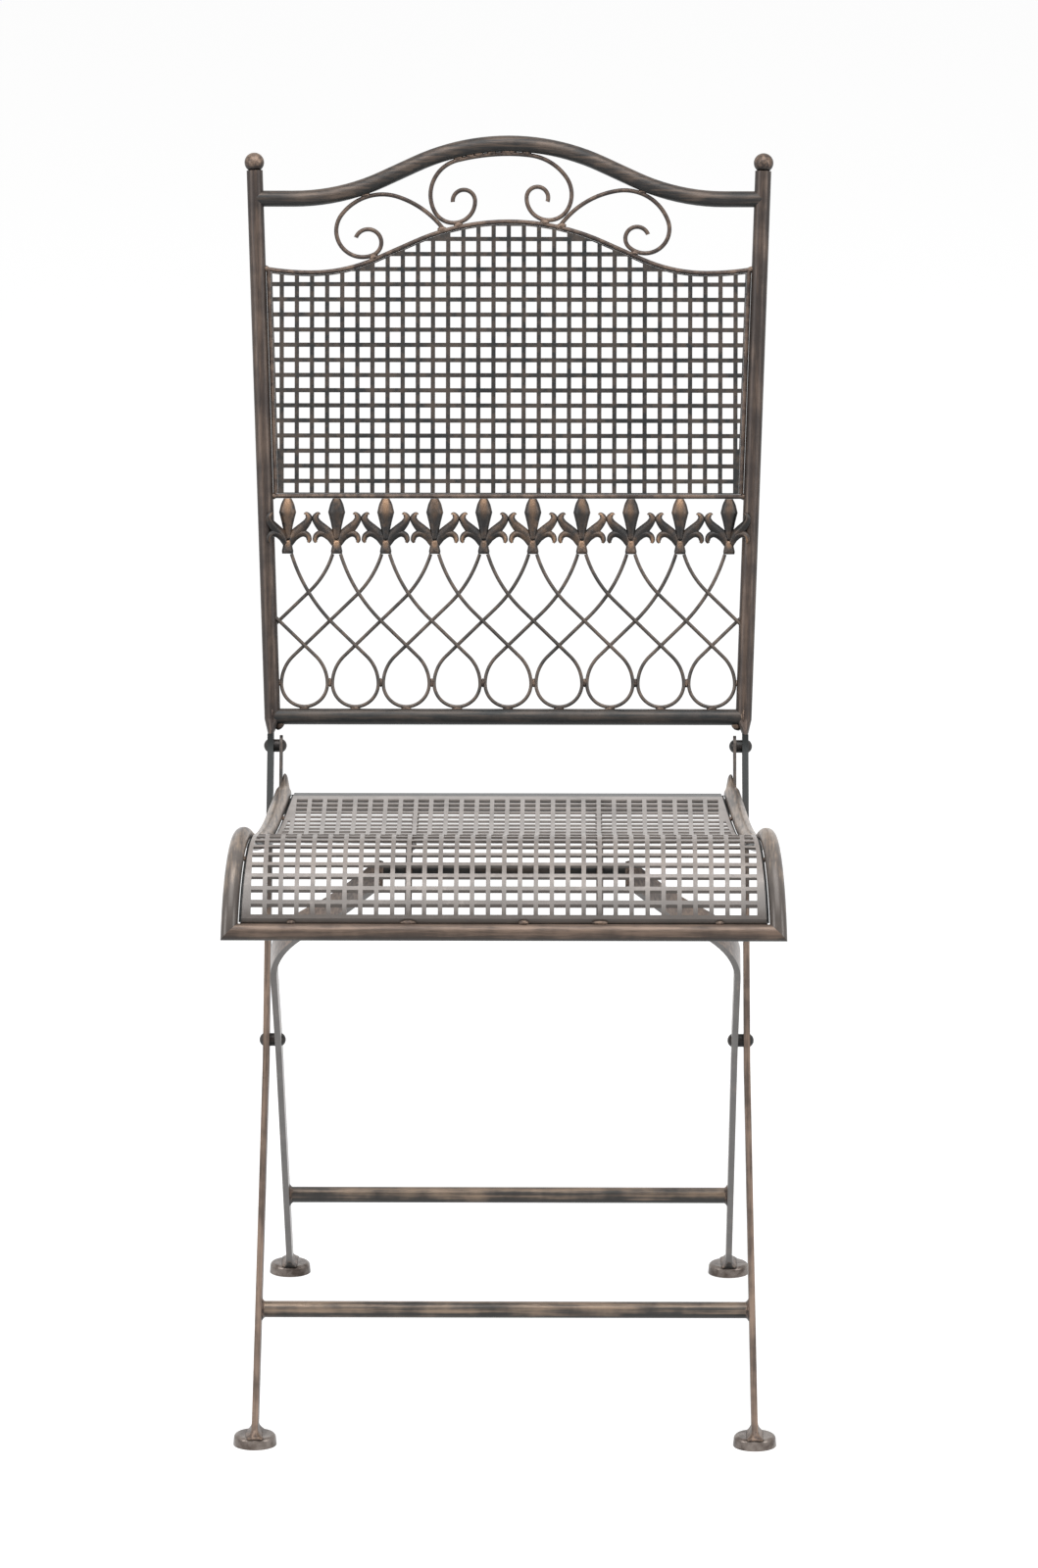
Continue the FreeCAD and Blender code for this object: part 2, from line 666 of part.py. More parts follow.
def arch_edges(low, half_span, rise, slope, crown_radius, tail, side=0.0):
    """Edges of a whole arch: one flank traced from the crown, the other its mirror."""
    crown = Vector(0, low + rise, 0)
    moves = crown_moves(half_span, rise, slope, crown_radius) + tail
    right = trace(crown, 0, moves, side)
    mirrored_moves = [(m[0], m[1]) if m[0] == "line" else (m[0], m[1], -m[2]) for m in moves]
    left = trace(crown, 180, mirrored_moves, -side)
    backwards = []
    for edge in reversed(left):
        first = edge.firstVertex(True).Point
        last = edge.lastVertex(True).Point
        middle = edge.valueAt((edge.FirstParameter + edge.LastParameter) / 2)
        if edge.Curve.TypeId == "Part::GeomLine":
            backwards.append(Part.LineSegment(last, first).toShape())
        else:
            backwards.append(Part.Arc(last, middle, first).toShape())
    return backwards + right


rail_tail = [("line", post_x(size("rail_low")) - size("rail_half_span"))]
rail_sizes = (size("rail_low"), size("rail_half_span"), size("rail_rise"), size("rail_slope"),
              size("rail_crown_radius"))
rail_edges = arch_edges(*rail_sizes, rail_tail)
top_rail = hollow(rail_edges, tube, size("tube_wall")).cut(both_posts)
keep_shape("top_rail", top_rail, back_frame)

# Border wires of the back sheet
border = size("border_diameter")
arch_end = post_x(size("arch_low")) - size("arch_half_span")
arch_turn = math.degrees(math.asin(arch_end / size("arch_end_radius")))
arch_tail = [("arc", size("arch_end_radius"), arch_turn)]
arch_sizes = (size("arch_low"), size("arch_half_span"), size("arch_rise"), size("arch_slope"),
              size("arch_crown_radius"))
arch_wire = sweep(arch_edges(*arch_sizes, arch_tail), border).cut(both_posts)
keep_shape("sheet_arch_wire", arch_wire, back_frame)


def border_x(height):
    """X of a side border wire's centre at a height along the back."""
    return post_x(height) - tube_radius - size("border_gap") - border / 2


sheet_low = size("sheet_low")
bottom_wire_half = post_x(sheet_low) - tube_radius + 1
bottom_wire = sweep([Part.LineSegment(Vector(-bottom_wire_half, sheet_low, 0),
                                      Vector(bottom_wire_half, sheet_low, 0)).toShape()], border)
keep_shape("sheet_bottom_wire", bottom_wire.cut(both_posts), back_frame)

arch_end_height = size("arch_low") + size("arch_end_radius") * (1 - cosine(arch_turn))
side_low = sheet_low + border / 2 + weld_gap
side_high = arch_end_height - border / 2 - weld_gap
for name, side in SIDES:
    wire = sweep([Part.LineSegment(Vector(side * border_x(side_low), side_low, 0),
                                   Vector(side * border_x(side_high), side_high, 0)).toShape()],
                 border)
    keep_shape("sheet_side_wire_" + name, wire.cut(arch_wire), back_frame)


def square(x, y, side):
    """Square wire about a point."""
    h = side / 2
    corners = [Vector(x - h, y - h, 0), Vector(x + h, y - h, 0), Vector(x + h, y + h, 0),
               Vector(x - h, y + h, 0)]
    return Part.makePolygon(corners + corners[:1])


def narrow(face):
    """Width of a clipped hole, from its area and perimeter."""
    return 4 * face.Area / face.Length


def holed(outline, holes):
    """Flat face with holes; outline and holes all run anticlockwise before."""
    for hole in holes:
        hole.reverse()
    return Part.Face([outline] + holes)


def punched(outline, region, inside, centres, side):
    """Face with square holes: whole ones inside a region, clipped ones at its edge."""
    holes = []
    for x, y in centres:
        h = side / 2
        corners = [(x - h, y - h), (x + h, y - h), (x + h, y + h), (x - h, y + h)]
        count = sum(1 for corner in corners if inside(*corner))
        if count == 4:
            holes.append(square(x, y, side))
        elif count > 0:
            for piece in Part.Face(square(x, y, side)).common(region).Faces:
                if narrow(piece) > size("hole_least"):
                    holes.append(piece.OuterWire)
    return holed(outline, holes)


def arch_height(x, drop):
    """Height of the arched wire's lower parallel at X, a drop below its centre."""
    crown = size("arch_low") + size("arch_rise")
    moves = crown_moves(size("arch_half_span"), size("arch_rise"), size("arch_slope"),
                        size("arch_crown_radius"))
    slope = size("arch_slope")
    upper = moves[0][1] + -drop
    x = abs(x)
    if x < upper * sine(slope):
        return crown - moves[0][1] + math.sqrt(upper ** 2 - x ** 2)
    knee_x = upper * sine(slope)
    knee_y = crown - moves[0][1] + upper * cosine(slope)
    if x < knee_x + moves[1][1] * cosine(slope):
        return knee_y - (x - knee_x) * math.tan(math.radians(slope))
    lower = moves[2][1] + drop
    if x < size("arch_half_span"):
        return size("arch_low") + moves[2][1] - math.sqrt(lower ** 2
                                                       - (x - size("arch_half_span")) ** 2)
    tail_radius = size("arch_end_radius") + drop
    return size("arch_low") + size("arch_end_radius") - math.sqrt(
        tail_radius ** 2 - (x - size("arch_half_span")) ** 2)


def back_sheet_outline(inset):
    """Right half of the back sheet's outline, drawn in from its wires' centres."""
    low = sheet_low + inset
    edge_run = [(low, border_x(low) - inset), (post_top, border_x(post_top) - inset)]
    box = Part.makePolygon([Vector(0, low, 0), Vector(edge_run[0][1], low, 0),
                            Vector(edge_run[1][1], post_top, 0), Vector(0, post_top, 0),
                            Vector(0, low, 0)])
    top = trace(Vector(0, size("arch_low") + size("arch_rise"), 0), 0,
                crown_moves(*arch_sizes[1:]) + arch_tail, -inset)
    first = top[0].firstVertex(True).Point
    last = last_point(top)
    below = [Part.LineSegment(last, Vector(last.x, 0, 0)).toShape(),
             Part.LineSegment(Vector(last.x, 0, 0), ORIGIN).toShape(),
             Part.LineSegment(ORIGIN, first).toShape()]
    under_arch = Part.Face(Part.Wire(top + below))
    return Part.Face(box).common(under_arch).Faces[0]


pitch = size("hole_pitch")
hole_side = size("hole_side")
punch_margin = border / 2 + weld_gap + size("punch_margin")
punch_region = back_sheet_outline(punch_margin)


def in_back_region(x, y):
    """True where a point lies inside the punched part of the back sheet."""
    if y < sheet_low + punch_margin or x > border_x(y) - punch_margin:
        return False
    return y < arch_height(x, punch_margin)


columns = int(post_x(post_top) / pitch) + 1
rows = int((size("arch_low") + size("arch_rise") - sheet_low) / pitch) + 1
back_centres = [((i + 0.5) * pitch, sheet_low + (j + 0.5) * pitch)
                for i in range(columns) for j in range(rows)]
back_face = punched(back_sheet_outline(border / 2 + weld_gap).OuterWire, punch_region,
                    in_back_region, back_centres, hole_side)
half_back = back_face.extrude(Vector(0, 0, size("sheet_thick")))
half_back.translate(Vector(0, 0, -size("sheet_thick") / 2))
back_sheet = half_back.fuse(mirrored(half_back))
keep_shape("back_sheet", max(back_sheet.Solids, key=lambda s: s.Volume), back_frame)

# Scrolls between the top rail and the arched wire: radius and turn of each arc in order.
# They are bent by hand, so each has its own arcs; the right ones are drawn at the left.
under_crown = Vector(0, size("rail_low") + size("rail_rise") - tube_radius
                     - size("scroll_diameter") / 2 - weld_gap, 0)
over_arch = size("arch_low") + size("arch_rise")
SCROLLS = [
    ("inner_left", LEFT, under_crown, 180.0,
     [(157.3, 14.0), (26.6, 103.0), (16.0, 112.4), (15.9, 43.6), (8.3, 182.3)]),
    ("inner_right", RIGHT, under_crown, 180.0,
     [(127.8, 7.0), (38.8, 48.0), (22.4, 61.7), (16.4, 155.9), (8.0, 199.2)]),
    ("outer_left", LEFT, Vector(-48.8, over_arch - 5.4, 0), 127.6,
     [(69.8, 33.9), (37.9, 72.0), (19.6, 151.2), (9.9, 183.5), (9.3, 41.7)]),
    ("outer_right", RIGHT, Vector(-38.4, over_arch - 2.7, 0), 126.0,
     [(64.2, 45.5), (34.5, 78.1), (18.0, 150.8), (8.7, 208.7)]),
]


for kind, side, start, heading, arcs in SCROLLS:
    moves = [("arc", radius, turn) for radius, turn in arcs]
    scroll = sweep(trace(start, heading, moves), size("scroll_diameter"))
    if kind.startswith("outer"):
        scroll = scroll.cut(arch_wire)
        scroll = max(scroll.Solids, key=lambda s: s.Volume)
    keep_shape("scroll_" + kind, mirrored(scroll) if side == RIGHT else scroll, back_frame)


# Castings: a ridged bud between two side leaves, over a collar. Outlines are shares of
# half the spacing across and of the casting's height up.

casting_low = size("casting_low")
casting_top = sheet_low - border / 2 - weld_gap
casting_height = casting_top - casting_low
casting_reach = (size("casting_pitch") - weld_gap) / 2
LEAF_UPPER = [(0.0, 0.455), (0.23, 0.487), (0.39, 0.497), (0.53, 0.54), (0.645, 0.61),
              (0.685, 0.665), (0.64, 0.725)]
LEAF_OUTER = [(0.64, 0.725), (0.73, 0.745), (0.87, 0.725), (0.985, 0.66), (0.995, 0.60),
              (0.91, 0.525), (0.825, 0.445), (0.86, 0.375), (0.94, 0.315), (0.955, 0.255),
              (0.83, 0.195)]
LEAF_LOWER = [(0.83, 0.195), (0.71, 0.245), (0.60, 0.285), (0.48, 0.285), (0.34, 0.25),
              (0.22, 0.185), (0.16, 0.13)]


def casting_point(share):
    """Point of a casting's outline from its two shares."""
    return Vector(share[0] * casting_reach, casting_low + share[1] * casting_height, 0)


def bud():
    """Ridged bud, lofted through diamonds that widen and narrow again."""
    widest = size("bud_width") / 2
    depth = size("bud_depth") / 2
    stations = [(0.40, 0.50, 0.60), (0.52, 0.66, 0.72), (0.66, 0.93, 0.95), (0.75, 1.0, 1.0),
                (0.86, 0.86, 0.84), (0.95, 0.60, 0.62), (1.0, 0.50, 0.55)]
    wires = []
    for share, wide, deep in stations:
        height = casting_low + share * casting_height
        corners = [Vector(widest * wide, height, 0), Vector(0, height, depth * deep),
                   Vector(-widest * wide, height, 0), Vector(0, height, -depth * deep)]
        wires.append(Part.makePolygon(corners + corners[:1]))
    return Part.makeLoft(wires, True, False)


def spline(shares):
    """Smooth edge through the outline points of a leaf."""
    curve = Part.BSplineCurve()
    curve.interpolate([casting_point(share) for share in shares])
    return curve.toShape()


def leaf():
    """Side leaf on the right: two pointed lobes, with a rounded rim."""
    last = casting_point(LEAF_LOWER[-1])
    root = Vector(0, last.y, 0)
    edges = [spline(LEAF_UPPER), spline(LEAF_OUTER), spline(LEAF_LOWER),
             Part.LineSegment(last, root).toShape(),
             Part.LineSegment(root, casting_point(LEAF_UPPER[0])).toShape()]
    solid = Part.Face(Part.Wire(edges)).extrude(Vector(0, 0, size("leaf_thick")))
    solid.translate(Vector(0, 0, -size("leaf_thick") / 2))
    rims = [edge for edge in solid.Edges
            if edge.Curve.TypeId == "Part::GeomBSplineCurve"]
    return solid.makeChamfer(size("leaf_round"), rims)


def casting(left_turn, right_turn):
    """One whole casting about X = 0, its leaves turned forward about its middle."""
    collar = Part.makeCone(size("collar_foot") / 2, size("collar_top") / 2,
                           size("collar_height"), Vector(0, casting_low, 0), Y_AXIS)
    right = leaf()
    left = mirrored(right)
    right.rotate(ORIGIN, Y_AXIS, -right_turn)
    left.rotate(ORIGIN, Y_AXIS, left_turn)
    return bud().fuse([right, left, collar])


def casting_x(number):
    """X of a casting, counted from 1 at the left."""
    return (number - (size("casting_count") + 1) / 2) * size("casting_pitch")


castings = int(size("casting_count"))
inner_casting = casting(0, 0)
left_casting = casting(size("end_leaf_turn"), 0)
right_casting = mirrored(left_casting)
for number in range(1, castings + 1):
    copy = inner_casting.copy()
    if number == 1:
        copy = left_casting.copy()
    if number == castings:
        copy = right_casting.copy()
    copy.translate(Vector(casting_x(number), 0, 0))
    keep_shape("fleur_casting_%d" % number, copy, back_frame)

# Lattice: each wire comes down from one casting, makes its loop and rises to another
wire = size("wire_diameter")
slant = size("loop_slant")
loop_radius = size("loop_radius")
shoulder = size("loop_shoulder")
loop_low = rail_height + tube_radius + wire / 2 + weld_gap
narrowing = shoulder * (1 - cosine(slant))
shoulder_run = (loop_radius - narrowing) / sine(slant)
own_crossing = (loop_low + loop_radius + shoulder * sine(slant)
                + shoulder_run * cosine(slant))
strand_top = casting_low - weld_gap
strand_end = size("strand_end")
lean = size("strand_lean")


def half_strand(offset, cut_run):
    """Moves from the loop's lowest point up one strand, drawn to the right.

    offset is how far to the side the strand ends; cut_run ends it early instead,
    that far to the side of the loop's middle.
    """
    moves = [("arc", loop_radius, -90.0), ("arc", shoulder, -slant), ("line", shoulder_run)]
    if cut_run is not None:
        return moves + [("line", cut_run / sine(slant))]
    height = strand_top - own_crossing
    rising = sine(slant) - sine(strand_end)
    sideways = cosine(strand_end) - cosine(slant)
    steep = math.tan(math.radians(slant))
    radius = (height * steep - offset) / (steep * rising - sideways)
    straight = (height - radius * rising) / cosine(slant)
    return moves + [("line", straight), ("arc", radius, slant - strand_end)]


def strand_edges(loop_x, offset, cut_run, front):
    """One strand in its own leaning plane; front strands come forward as they rise."""
    moves = half_strand(offset, cut_run)
    edges = trace(Vector(0, 0, 0), 180, moves)
    tilt = lean if front else -lean
    frame = Placement(Vector(loop_x, loop_low, 0), Rotation(X_AXIS, tilt))
    turned = []
    for edge in edges:
        copy = edge.copy()
        copy.Placement = frame
        turned.append(copy)
    return turned


def mirror_edges(edges, about_x):
    """Edges mirrored left to right about a plane, in the same order."""
    return [edge.mirror(Vector(about_x, 0, 0), X_AXIS) for edge in edges]


def loop_x(number):
    """X of a loop, counted from 1 at the left; 0 and one past the last are beyond the posts."""
    return (number - (size("loop_count") + 1) / 2) * size("loop_pitch")


def pipe_through(edges):
    """Wire along edges that may have to be put in order first."""
    path = Part.Wire(Part.__sortEdges__(edges))
    first = path.OrderedEdges[0]
    origin = path.OrderedVertexes[0].Point
    direction = first.tangentAt(first.FirstParameter)
    section = Part.Wire(Part.Circle(origin, direction, wire / 2).toShape())
    return path.makePipeShell([section], True, False)


loops = int(size("loop_count"))
past_post = post_x(own_crossing)
strand_offset = size("strand_offset")
for number in range(1, loops + 1):
    x = loop_x(number)
    # The strand that rises to the right leaves the loop's foot to the left, and the
    # strand that rises to the left is its mirror image in the front plane
    right_cut = past_post - x if number == loops else None
    left_cut = past_post + x if number == 1 else None
    right_offset = casting_x(number + 2) - strand_offset - x
    left_offset = x - casting_x(number - 1) - strand_offset
    right_strand = strand_edges(x, right_offset, right_cut, False)
    left_strand = mirror_edges(strand_edges(x, left_offset, left_cut, True), x)
    lattice_wire = pipe_through(left_strand + right_strand)
    if number in (1, loops):
        lattice_wire = lattice_wire.cut(both_posts)
    keep_shape("lattice_loop_%d" % number, max(lattice_wire.Solids, key=lambda s: s.Volume),
               back_frame)

end_offset = casting_x(2) - strand_offset - loop_x(0)
for name, side in SIDES:
    end_edges = strand_edges(loop_x(0), end_offset, None, side == RIGHT)
    end_wire = sweep(end_edges[3:], wire).cut(both_posts)
    end_wire = max(end_wire.Solids, key=lambda s: s.BoundBox.XMax)
    keep_shape("lattice_end_" + name, mirrored(end_wire) if side == RIGHT else end_wire,
               back_frame)


# Seat: side profile from the front tube over the rolled front and down to the rear edge

front_radius = size("front_radius")
front_fall = size("front_fall")
front_corner = Vector(crest.y - front_radius * sine(front_fall),
                      crest.z - front_radius * (1 - cosine(front_fall)), 0)
level_part = (front_radius * sine(size("rear_fall"))
              + size("dip_radius") * (sine(size("rear_fall")) + sine(size("rear_rise"))))
rear_straight = (size("seat_rear") - crest.y - level_part) / cosine(size("rear_rise"))


def seat_moves(front_trim, rear_straight_length):
    """Moves of the seat's profile, with its start trimmed along the rolled front."""
    trimmed = math.degrees(front_trim / front_radius)
    return [("arc", front_radius, -(front_fall - trimmed + size("rear_fall"))),
            ("arc", size("dip_radius"), size("rear_fall") + size("rear_rise")),
            ("line", rear_straight_length)]


def seat_start(front_trim):
    """Start and heading of the profile, trimmed along the rolled front."""
    angle = front_fall - math.degrees(front_trim / front_radius)
    start = Vector(crest.y - front_radius * sine(angle),
                   crest.z - front_radius * (1 - cosine(angle)), 0)
    return start, angle


taper = size("seat_taper")


def side_tube_x(y):
    """X of a seat side tube's centre at a depth."""
    return size("seat_front_offset") - taper * (y - front_corner.x)


tail_line = ("line", rear_straight + size("side_tail"))
tail_radius = size("tail_radius")
tail_turn = size("tail_turn")


def pressed_tail(tube_end, heading):
    """Upturned end of a side tube, pressed from round to flat, in the tube's own plane."""
    start = tube_end - Vector(cosine(heading), sine(heading), 0) * size("tail_lap")
    neck = size("tail_neck")
    sections = []
    for share in (0.0, 0.5, 1.0):
        turned = heading + tail_turn * share
        centre = start + Vector(sine(turned) - sine(heading),
                                cosine(heading) - cosine(turned), 0) * tail_radius
        rise = neck + (size("tail_press_width") / 2 - neck) * share
        thick = neck + (size("tail_press_thick") / 2 - neck) * share
        outline = Part.Ellipse(centre + Vector(-sine(turned), cosine(turned), 0) * (rise + 0.001),
                               centre + Z_AXIS * thick, centre)
        sections.append(Part.Wire(outline.toShape()))
    return Part.makeLoft(sections, True, False)


def side_tube(side, bore=0.0):
    """Seat side tube in its leaning plane, run on past the front corner for the mitre."""
    moves = seat_moves(0.0, 0.0)[:2] + [tail_line]
    start = front_corner - Vector(cosine(front_fall), sine(front_fall), 0) * tube
    moves = [("line", tube)] + moves
    backward = Vector(-side * taper, 1, 0)
    backward.normalize()
    frame = Placement(Vector(side * side_tube_x(0), 0, 0),
                      Rotation(backward, Z_AXIS, backward.cross(Z_AXIS), "XYZ"))
    edges = trace(start, front_fall, moves)
    solid = sweep(edges, tube - 2 * bore)
    if bore == 0:
        solid = solid.fuse(pressed_tail(last_point(edges), size("rear_rise")))
    solid.Placement = frame
    corner = Vector(side * side_tube_x(front_corner.x), front_corner.x, front_corner.y)
    inward = Vector(-side, 0, 0)
    rising = backward * cosine(front_fall) + Z_AXIS * sine(front_fall)
    mitre = rising - inward
    mitre.normalize()
    return solid.cut(half_space(corner, mitre * -1)), corner, mitre


seat_tubes = {}
mitres = {}
for name, side in SIDES:
    solid, corner, mitre = side_tube(side)
    seat_tubes[side] = solid
    mitres[side] = (corner, mitre)
    bore, corner, mitre = side_tube(side, size("tube_wall"))
    keep_shape("seat_side_tube_" + name, solid.cut(bore), chair_frame)

front_half = side_tube_x(front_corner.x) + tube
front_line = [Part.LineSegment(Vector(-front_half, front_corner.x, front_corner.y),
                               Vector(front_half, front_corner.x, front_corner.y)).toShape()]
front_tube = hollow(front_line, tube, size("tube_wall"))
front_rod = sweep(front_line, tube)
for side in (LEFT, RIGHT):
    corner, mitre = mitres[side]
    front_tube = front_tube.cut(half_space(corner, mitre))
    front_rod = front_rod.cut(half_space(corner, mitre))
keep_shape("seat_front_tube", front_tube, chair_frame)

both_seat_tubes = seat_tubes[LEFT].fuse(seat_tubes[RIGHT])


def profile_point(y):
    """Height of the seat's profile at a depth behind the dip's start."""
    dip_end_y = crest.y + level_part
    dip_end_z = (crest.z - front_radius * (1 - cosine(size("rear_fall")))
                 - size("dip_radius") * (cosine(size("rear_rise")) - cosine(size("rear_fall"))))
    if y >= dip_end_y:
        return dip_end_z + (y - dip_end_y) * math.tan(math.radians(size("rear_rise")))
    centre_y = dip_end_y - size("dip_radius") * sine(size("rear_rise"))
    centre_z = dip_end_z + size("dip_radius") * cosine(size("rear_rise"))
    return centre_z - math.sqrt(size("dip_radius") ** 2 - (y - centre_y) ** 2)


rear_tube_y = size("rear_tube_back")
rear_tube_z = (profile_point(rear_tube_y) - tube_radius - size("sheet_thick") / 2
               - weld_gap)
rear_half = side_tube_x(rear_tube_y)
rear_line = [Part.LineSegment(Vector(-rear_half, rear_tube_y, rear_tube_z),
                              Vector(rear_half, rear_tube_y, rear_tube_z)).toShape()]
rear_tube = hollow(rear_line, tube, size("tube_wall")).cut(both_seat_tubes)
keep_shape("seat_rear_tube", max(rear_tube.Solids, key=lambda s: s.Volume), chair_frame)
rear_rod = sweep(rear_line, tube)

# Seat sheet: a bent slab cut through by the plan of the punched sheet
half_sheet = size("sheet_thick") / 2
slab_reach = tube_radius + weld_gap
start, heading = seat_start(slab_reach)
slab_face = ribbon(start, heading, seat_moves(slab_reach, rear_straight), 2 * half_sheet)
slab = slab_face.extrude(Vector(0, 0, size("seat_front_offset")))
slab.Placement = Placement(ORIGIN, Rotation(Y_AXIS, Z_AXIS, X_AXIS, "XYZ"))


def depth_at(run):
    """Depth of the point that lies a run along the profile from the front corner."""
    front_length = math.radians(front_fall + size("rear_fall")) * front_radius
    if run < front_length:
        angle = front_fall - math.degrees(run / front_radius)
        return crest.y - front_radius * sine(angle)
    knee = crest.y + front_radius * sine(size("rear_fall"))
    run -= front_length
    dip_length = math.radians(size("rear_fall") + size("rear_rise")) * size("dip_radius")
    if run < dip_length:
        angle = size("rear_fall") - math.degrees(run / size("dip_radius"))
        return knee + size("dip_radius") * (sine(size("rear_fall")) - sine(angle))
    return crest.y + level_part + (run - dip_length) * cosine(size("rear_rise"))


def sheet_half(y):
    """Half width of the seat sheet at a depth."""
    return side_tube_x(y) - size("sheet_inset")


front_edge = depth_at(size("front_inset"))
rear_edge = size("seat_rear")


def plan_outline():
    """Plan of the right half of the seat sheet."""
    corners = [Vector(0, front_edge, 0), Vector(sheet_half(front_edge), front_edge, 0),
               Vector(sheet_half(rear_edge), rear_edge + 1, 0), Vector(0, rear_edge + 1, 0)]
    return Part.makePolygon(corners + corners[:1])


margin = size("sheet_margin")


def plan_region():
    """Plan of the part of the sheet's right half that is punched."""
    near = depth_at(size("front_inset") + margin)
    far = rear_edge - margin
    corners = [Vector(0, near, 0), Vector(sheet_half(near) - margin, near, 0),
               Vector(sheet_half(far) - margin, far, 0), Vector(0, far, 0)]
    return Part.Face(Part.makePolygon(corners + corners[:1]))


def seat_holes():
    """Plans of the holes right of the middle, shorter rectangles where the sheet slopes."""
    region = plan_region()
    holes = []
    total = (math.radians(front_fall + size("rear_fall")) * front_radius
             + math.radians(size("rear_fall") + size("rear_rise")) * size("dip_radius")
             + rear_straight)
    first = size("front_inset") + margin
    row_count = int((total - first - margin) / pitch)
    for row in range(row_count):
        low = depth_at(first + row * pitch)
        high = depth_at(first + row * pitch + hole_side)
        room = min(sheet_half(low), sheet_half(high)) - margin
        for column in range(int(size("seat_front_offset") / pitch) + 1):
            near_x = column * pitch + (pitch - hole_side) / 2
            far_x = near_x + hole_side
            corners = [Vector(near_x, low, 0), Vector(far_x, low, 0), Vector(far_x, high, 0),
                       Vector(near_x, high, 0)]
            outline = Part.makePolygon(corners + corners[:1])
            if far_x < room:
                holes.append(outline)
            elif near_x < sheet_half(low) - margin:
                for piece in Part.Face(outline).common(region).Faces:
                    if narrow(piece) > size("hole_least"):
                        holes.append(piece.OuterWire)
    return holes


plan_block = holed(plan_outline(), seat_holes()).extrude(Vector(0, 0, crest.z + tube))
half_seat = slab.common(plan_block)
seat_sheet = half_seat.fuse(mirrored(half_seat))
keep_shape("seat_sheet", max(seat_sheet.Solids, key=lambda s: s.Volume), chair_frame)

# Wires under the edges of the seat sheet
seat_border = size("seat_border_diameter")
border_out = size("seat_border_out")
border_side = -(half_sheet + seat_border / 2 + weld_gap)
border_start, border_heading = seat_start(size("front_inset") - border_out)
side_wires = []
for name, side in SIDES:
    backward = Vector(-side * taper, 1, 0)
    backward.normalize()
    edges = trace(border_start, border_heading,
                  seat_moves(size("front_inset") - border_out, rear_straight), border_side)
    wire_bar = sweep(edges, seat_border)
    wire_bar.Placement = Placement(
        Vector(side * (side_tube_x(0) - size("sheet_inset") + border_out), 0, 0),
        Rotation(backward, Z_AXIS, backward.cross(Z_AXIS), "XYZ"))
    wire_bar = wire_bar.cut(rear_rod)
    side_wires.append(max(wire_bar.Solids, key=lambda s: s.Volume))
front_place = edges[0].firstVertex(True).Point
front_reach = sheet_half(front_edge) + border_out
rear_place = Vector(rear_edge + border_out, profile_point(rear_edge) + border_side, 0)
rear_reach = side_tube_x(rear_edge) - tube_radius - weld_gap
cross_wires = []
for place, reach in ((front_place, front_reach), (rear_place, rear_reach)):
    line = [Part.LineSegment(Vector(-reach, place.x, place.y),
                             Vector(reach, place.x, place.y)).toShape()]
    wire_bar = sweep(line, seat_border).cut(side_wires[0]).cut(side_wires[1])
    cross_wires.append(max(wire_bar.Solids, key=lambda s: s.Volume))
keep_shape("seat_border_wires", Part.makeCompound(side_wires + cross_wires), chair_frame)

# Rods under the seat sheet, on which the bearer slides
rod = size("rod_diameter")
rod_trim = size("front_inset") - border_out + seat_border / 2 + weld_gap
rod_start, rod_heading = seat_start(rod_trim)
rod_side = -(half_sheet + rod / 2 + weld_gap)
for name, side in SIDES:
    edges = trace(rod_start, rod_heading, seat_moves(rod_trim, rear_straight - rod), rod_side)
    solid = sweep(edges, rod)
    solid.Placement = Placement(Vector(side * size("rod_offset"), 0, 0),
                                Rotation(Y_AXIS, Z_AXIS, X_AXIS, "XYZ"))
    solid = solid.cut(rear_rod).cut(front_rod)
    keep_shape("seat_rod_" + name, max(solid.Solids, key=lambda s: s.Volume), chair_frame)

# Hangers: straps that rise from the seat's rear corners to the pivot
for name, side in SIDES:
    foot = Vector(0, size("hanger_foot_back"), profile_point(size("seat_rear")))
    down = foot - pivot
    down.normalize()
    across = Vector(0, down.z, -down.y) * (size("hanger_width") / 2)
    top = pivot - down * (size("hanger_width") / 2)
    edges = [Part.Arc(pivot - across, top, pivot + across).toShape(),
             Part.LineSegment(pivot + across, foot + across).toShape(),
             Part.LineSegment(foot + across, foot - across).toShape(),
             Part.LineSegment(foot - across, pivot - across).toShape()]
    strap = Part.Face(Part.Wire(edges)).extrude(Vector(size("hanger_thick"), 0, 0))
    strap.translate(Vector(side * hanger_x - size("hanger_thick") / 2, 0, 0))
    strap = strap.cut(pivot_hole(pivot, side * hanger_x,
                                 size("rivet_diameter") + 2 * size("pivot_play")))
    strap = strap.cut(seat_tubes[side])
    keep_shape("hanger_" + name, max(strap.Solids, key=lambda s: s.Volume), chair_frame)


doc.recompute()

for obj in doc.Objects:
    if "Invalid" in obj.State or "Error" in obj.State:
        raise RuntimeError("failed object: " + obj.Label)
for obj in nodes:
    if obj.Shape.isNull() or not obj.Shape.isValid():
        raise RuntimeError("bad shape: " + obj.Label)
    obj.Shape.exportStep(os.path.join("parts", obj.Label + ".step"))

print(len(nodes), "sub-parts written")
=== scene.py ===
import json
import math

import bpy
import numpy as np
from mathutils import Matrix, Vector
from mathutils.bvhtree import BVHTree


